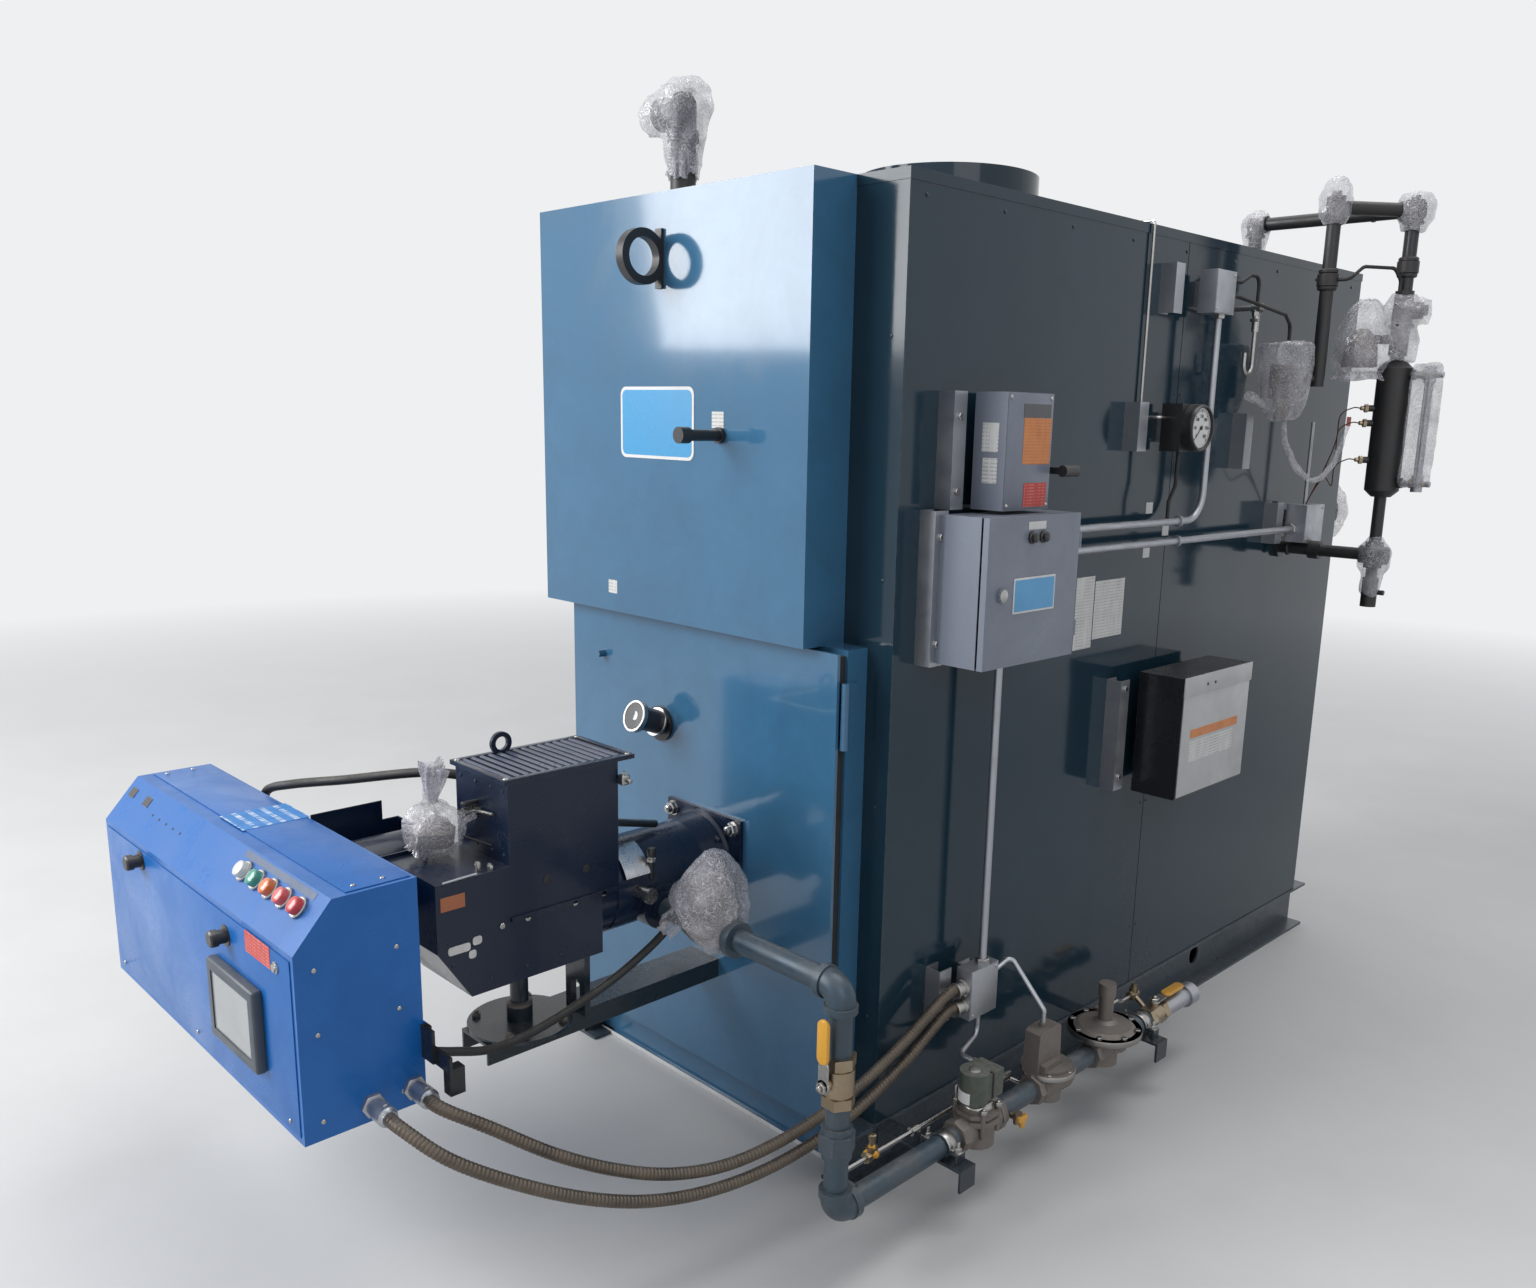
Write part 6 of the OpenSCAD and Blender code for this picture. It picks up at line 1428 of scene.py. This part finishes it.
# Lines of the free conduits and hoses, from the burner's end to the far one.
ROUTES = {
    "flex_conduit_upper": (
        (0.224, -1.980, 0.456), (0.290, -1.980, 0.456), (0.350, -1.920, 0.420), (0.410, -1.820, 0.350),
        (0.455, -1.710, 0.290), (0.490, -1.600, 0.250), (0.520, -1.480, 0.235), (0.545, -1.340, 0.250),
        (0.565, -1.190, 0.290), (0.582, -1.040, 0.360), (0.592, -0.911, 0.432), (0.592, -0.851, 0.432)),
    "flex_conduit_lower": (
        (0.224, -2.061, 0.453), (0.300, -2.061, 0.453), (0.375, -2.010, 0.405), (0.430, -1.910, 0.340),
        (0.470, -1.790, 0.275), (0.500, -1.660, 0.225), (0.525, -1.520, 0.200), (0.550, -1.370, 0.205),
        (0.570, -1.210, 0.240), (0.585, -1.050, 0.310), (0.592, -0.911, 0.388), (0.592, -0.851, 0.388)),
    "gas_valve_hose": (
        (0.206, -1.404, 0.598), (0.190, -1.420, 0.572), (0.176, -1.450, 0.544), (0.166, -1.500, 0.514),
        (0.160, -1.580, 0.484), (0.160, -1.700, 0.457), (0.162, -1.800, 0.455), (0.160, -1.880, 0.478),
        (0.155, -1.920, 0.490), (0.155, -1.955, 0.490)),
    "switch_hose": (
        (-0.051, -1.700, 0.940), (-0.085, -1.700, 0.940), (-0.150, -1.765, 0.944), (-0.300, -1.855, 0.912),
        (-0.430, -1.912, 0.884), (-0.530, -1.930, 0.850), (-0.572, -1.918, 0.790), (-0.575, -1.906, 0.730),
        (-0.575, -1.916, 0.700), (-0.575, -1.940, 0.700)),
}


def run_length(points):
    """Length of the line through the points."""
    return sum((b - a).length for a, b in zip(points, points[1:]))


class BOILER_OT_free_conduits(bpy.types.Operator):
    """Ridged conduits from the cabinet to the side box, and the smooth hoses of the burner"""
    bl_idname = "boiler.free_conduits"
    bl_label = "Free conduits"

    def execute(self, context):
        for node, r in (("flex_conduit_upper", 0.0125), ("flex_conduit_lower", 0.0125)):
            piece = finish(self.sleeve(ROUTES[node], r), node + "_sleeve", "flexible sleeve",
                           smooth=50)
            self.declare(piece, node, r, "stiff")
        for node, r in (("gas_valve_hose", 0.009), ("switch_hose", 0.010)):
            hose = tube(path_of(ROUTES[node], CORD_STEPS), r, 16, smooth_path=False)
            finish(hose, node + "_skin", "black rubber", smooth=60)
            self.declare(hose, node, r, "medium")
        return {"FINISHED"}

    def declare(self, piece, node, r, stiffness):
        """The piece takes the frame's place."""
        path = path_of(ROUTES[node], CORD_STEPS)
        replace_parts(piece, node)

    def sleeve(self, route, r):
        """Mesh tube whose radius steps in ridges along the route."""
        fine = path_of(route, SLEEVE_STEPS)
        total, last = run_length(fine), SLEEVE_STEPS
        rings, sides = int(total / sizes().pitch) * 4, 16
        marks = [0.0]
        for a, b in zip(fine, fine[1:]):
            marks.append(marks[-1] + (b - a).length)
        verts, k = [], 0
        for i in range(rings + 1):
            d = total * i / rings
            while k < last - 1 and marks[k + 1] < d:
                k += 1
            share = (d - marks[k]) / max(1e-9, marks[k + 1] - marks[k])
            p = fine[k].lerp(fine[k + 1], min(1.0, share))
            tangent = (fine[min(last, k + 2)] - fine[max(0, k - 1)]).normalized()
            side = tangent.cross(Vector(UP)).normalized()
            up = side.cross(tangent)
            ridge = r * (1.0, 0.985, 0.90, 0.985)[i % 4]
            for j in range(sides):
                a = 2 * math.pi * j / sides
                verts.append(p + side * math.cos(a) * ridge + up * math.sin(a) * ridge)
        faces = [(i * sides + j, i * sides + (j + 1) % sides, (i + 1) * sides + (j + 1) % sides,
                  (i + 1) * sides + j) for i in range(rings) for j in range(sides)]
        faces += [tuple(range(sides - 1, -1, -1)), tuple(rings * sides + j for j in range(sides))]
        mesh = bpy.data.meshes.new("sleeve")
        mesh.from_pydata([tuple(v) for v in verts], [], faces)
        obj = bpy.data.objects.new("sleeve", mesh)
        bpy.context.scene.collection.objects.link(obj)
        merge(obj)
        return obj


BACKDROP = (0.86, 0.87, 0.88, 1.0)     # colour in which floor and air run together
PHOTO_W, PHOTO_H = 1536, 1288          # photograph, in pixels
CENTRE_X, CENTRE_Y = 799.6, 687.88     # where its lens axis meets it
EYE = (2.1595, -2.9658, 1.68)
HEADING, TILT, ROLL = 44.954, -12.241, -1.278    # in degrees


def seen_straight(sheet):
    """Mask of what the camera sees itself, through glass or in a mirror."""
    rays = sheet.add("ShaderNodeLightPath").outputs
    direct = sheet.math("MAXIMUM", rays["Is Camera Ray"], rays["Is Glossy Ray"])
    return sheet.math("MAXIMUM", direct, rays["Is Transmission Ray"])


class BOILER_OT_studio(bpy.types.Operator):
    """Pale floor, soft light and the camera"""
    bl_idname = "boiler.studio"
    bl_label = "Studio"

    def execute(self, context):
        scene, st = context.scene, studio()
        scene.view_settings.view_transform = "Standard"
        put_down()
        bpy.ops.mesh.primitive_plane_add(size=80, location=(0, 0, 0))
        floor = bpy.context.object
        floor.name = "floor"
        ground, s, bsdf = shader("studio floor")
        place = s.place()
        away = s.add("ShaderNodeVectorMath", {0: place}, operation="LENGTH").outputs["Value"]
        fade = s.ranged(away, 3.2, 9.0)
        tone = s.blend(s.ranged(s.noise(place, 2.2, 6.0, 0.6), 0.3, 0.7), tuple(st.floor),
                       tuple(c * 0.94 for c in st.floor))
        s.feed(bsdf["Base Color"], tone)
        s.feed(bsdf["Roughness"], 0.7)
        glow = s.add("ShaderNodeEmission", {"Color": BACKDROP, "Strength": 1.0}).outputs[0]
        mix = s.add("ShaderNodeMixShader", {0: s.math("MULTIPLY", fade, seen_straight(s)),
                                            1: s.tree.nodes["Principled BSDF"].outputs[0], 2: glow})
        s.feed(s.tree.nodes["Material Output"].inputs["Surface"], mix.outputs[0])
        floor.data.materials.append(ground)

        world = bpy.data.worlds.new("studio light")
        scene.world = world
        world.use_nodes = True
        w = Sheet(world.node_tree)
        lit = w.add("ShaderNodeBackground", {"Color": (0.86, 0.90, 1.0, 1.0), "Strength": st.sky}).outputs[0]
        seen = w.add("ShaderNodeBackground", {"Color": BACKDROP, "Strength": 1.0}).outputs[0]
        mix = w.add("ShaderNodeMixShader", {0: seen_straight(w), 1: lit, 2: seen})
        w.feed(world.node_tree.nodes["World Output"].inputs["Surface"], mix.outputs[0])

        for name, at, aim, size, power in (
                ("soft key", (-3.6, -6.4, 4.2), (0.0, -1.2, 0.9), 4.5, st.key),
                ("soft fill", (5.6, -3.4, 4.6), (0.4, -0.2, 0.9), 4.0, st.fill),
                ("soft top", (0.5, 1.0, 7.0), (0.0, 0.0, 1.0), 5.0, st.top)):
            lamp = bpy.data.lights.new(name, "AREA")
            lamp.size = size
            lamp.energy = power
            obj = bpy.data.objects.new(name, lamp)
            obj.location = at
            obj.rotation_euler = (Vector(aim) - Vector(at)).to_track_quat("-Z", "Y").to_euler()
            scene.collection.objects.link(obj)

        cam = bpy.data.cameras.new("photo view")
        cam.sensor_width = 36.0
        cam.lens = st.lens
        cam.shift_x = (PHOTO_W / 2 - CENTRE_X) / PHOTO_W
        cam.shift_y = (CENTRE_Y - PHOTO_H / 2) / PHOTO_W
        cam.clip_end = 200.0
        eye = bpy.data.objects.new("photo view", cam)
        place = Matrix.Translation(EYE)
        for degrees, axis in ((HEADING, "Z"), (TILT, "X"), (ROLL, "Y"), (90, "X")):
            place = place @ Matrix.Rotation(math.radians(degrees), 4, axis)
        eye.matrix_world = place
        scene.collection.objects.link(eye)
        scene.camera = eye
        return {"FINISHED"}


OPERATORS = (BOILER_OT_studio, BOILER_OT_frame_finishes, BOILER_OT_free_conduits, BOILER_OT_film_bags,
             BOILER_OT_cabinet_fittings, BOILER_OT_burner_fittings, BOILER_OT_valve_levers,
             BOILER_OT_gas_train_fittings, BOILER_OT_box_fittings, BOILER_OT_pressure_dial,
             BOILER_OT_front_fittings, BOILER_OT_column_fittings)


class BOILER_PT_panel(bpy.types.Panel):
    """The pieces in the order they are made"""
    bl_label = "Package Boiler"
    bl_idname = "BOILER_PT_panel"
    bl_space_type = "VIEW_3D"
    bl_region_type = "UI"
    bl_category = "Boiler"

    def draw(self, context):
        for op in OPERATORS:
            self.layout.operator(op.bl_idname)
        for settings in (context.scene.boiler_paints, context.scene.boiler_sizes,
                         context.scene.boiler_studio):
            box = self.layout.box()
            for key in settings.bl_rna.properties.keys():
                if key not in {"rna_type", "name"}:
                    box.prop(settings, key)


def register():
    for cls in (BoilerPaints, BoilerSizes, BoilerStudio, *OPERATORS, BOILER_PT_panel):
        bpy.utils.register_class(cls)
    bpy.types.Scene.boiler_paints = bpy.props.PointerProperty(type=BoilerPaints)
    bpy.types.Scene.boiler_sizes = bpy.props.PointerProperty(type=BoilerSizes)
    bpy.types.Scene.boiler_studio = bpy.props.PointerProperty(type=BoilerStudio)


def unregister():
    del bpy.types.Scene.boiler_studio
    del bpy.types.Scene.boiler_sizes
    del bpy.types.Scene.boiler_paints
    for cls in (BOILER_PT_panel, *reversed(OPERATORS), BoilerStudio, BoilerSizes, BoilerPaints):
        bpy.utils.unregister_class(cls)


def main():
    """Makes every piece, as the panel's buttons do from top to bottom."""
    register()
    for op in OPERATORS:
        getattr(bpy.ops.boiler, op.bl_idname.split(".")[1])()
    put_down()


if __name__ == "__main__":
    main()
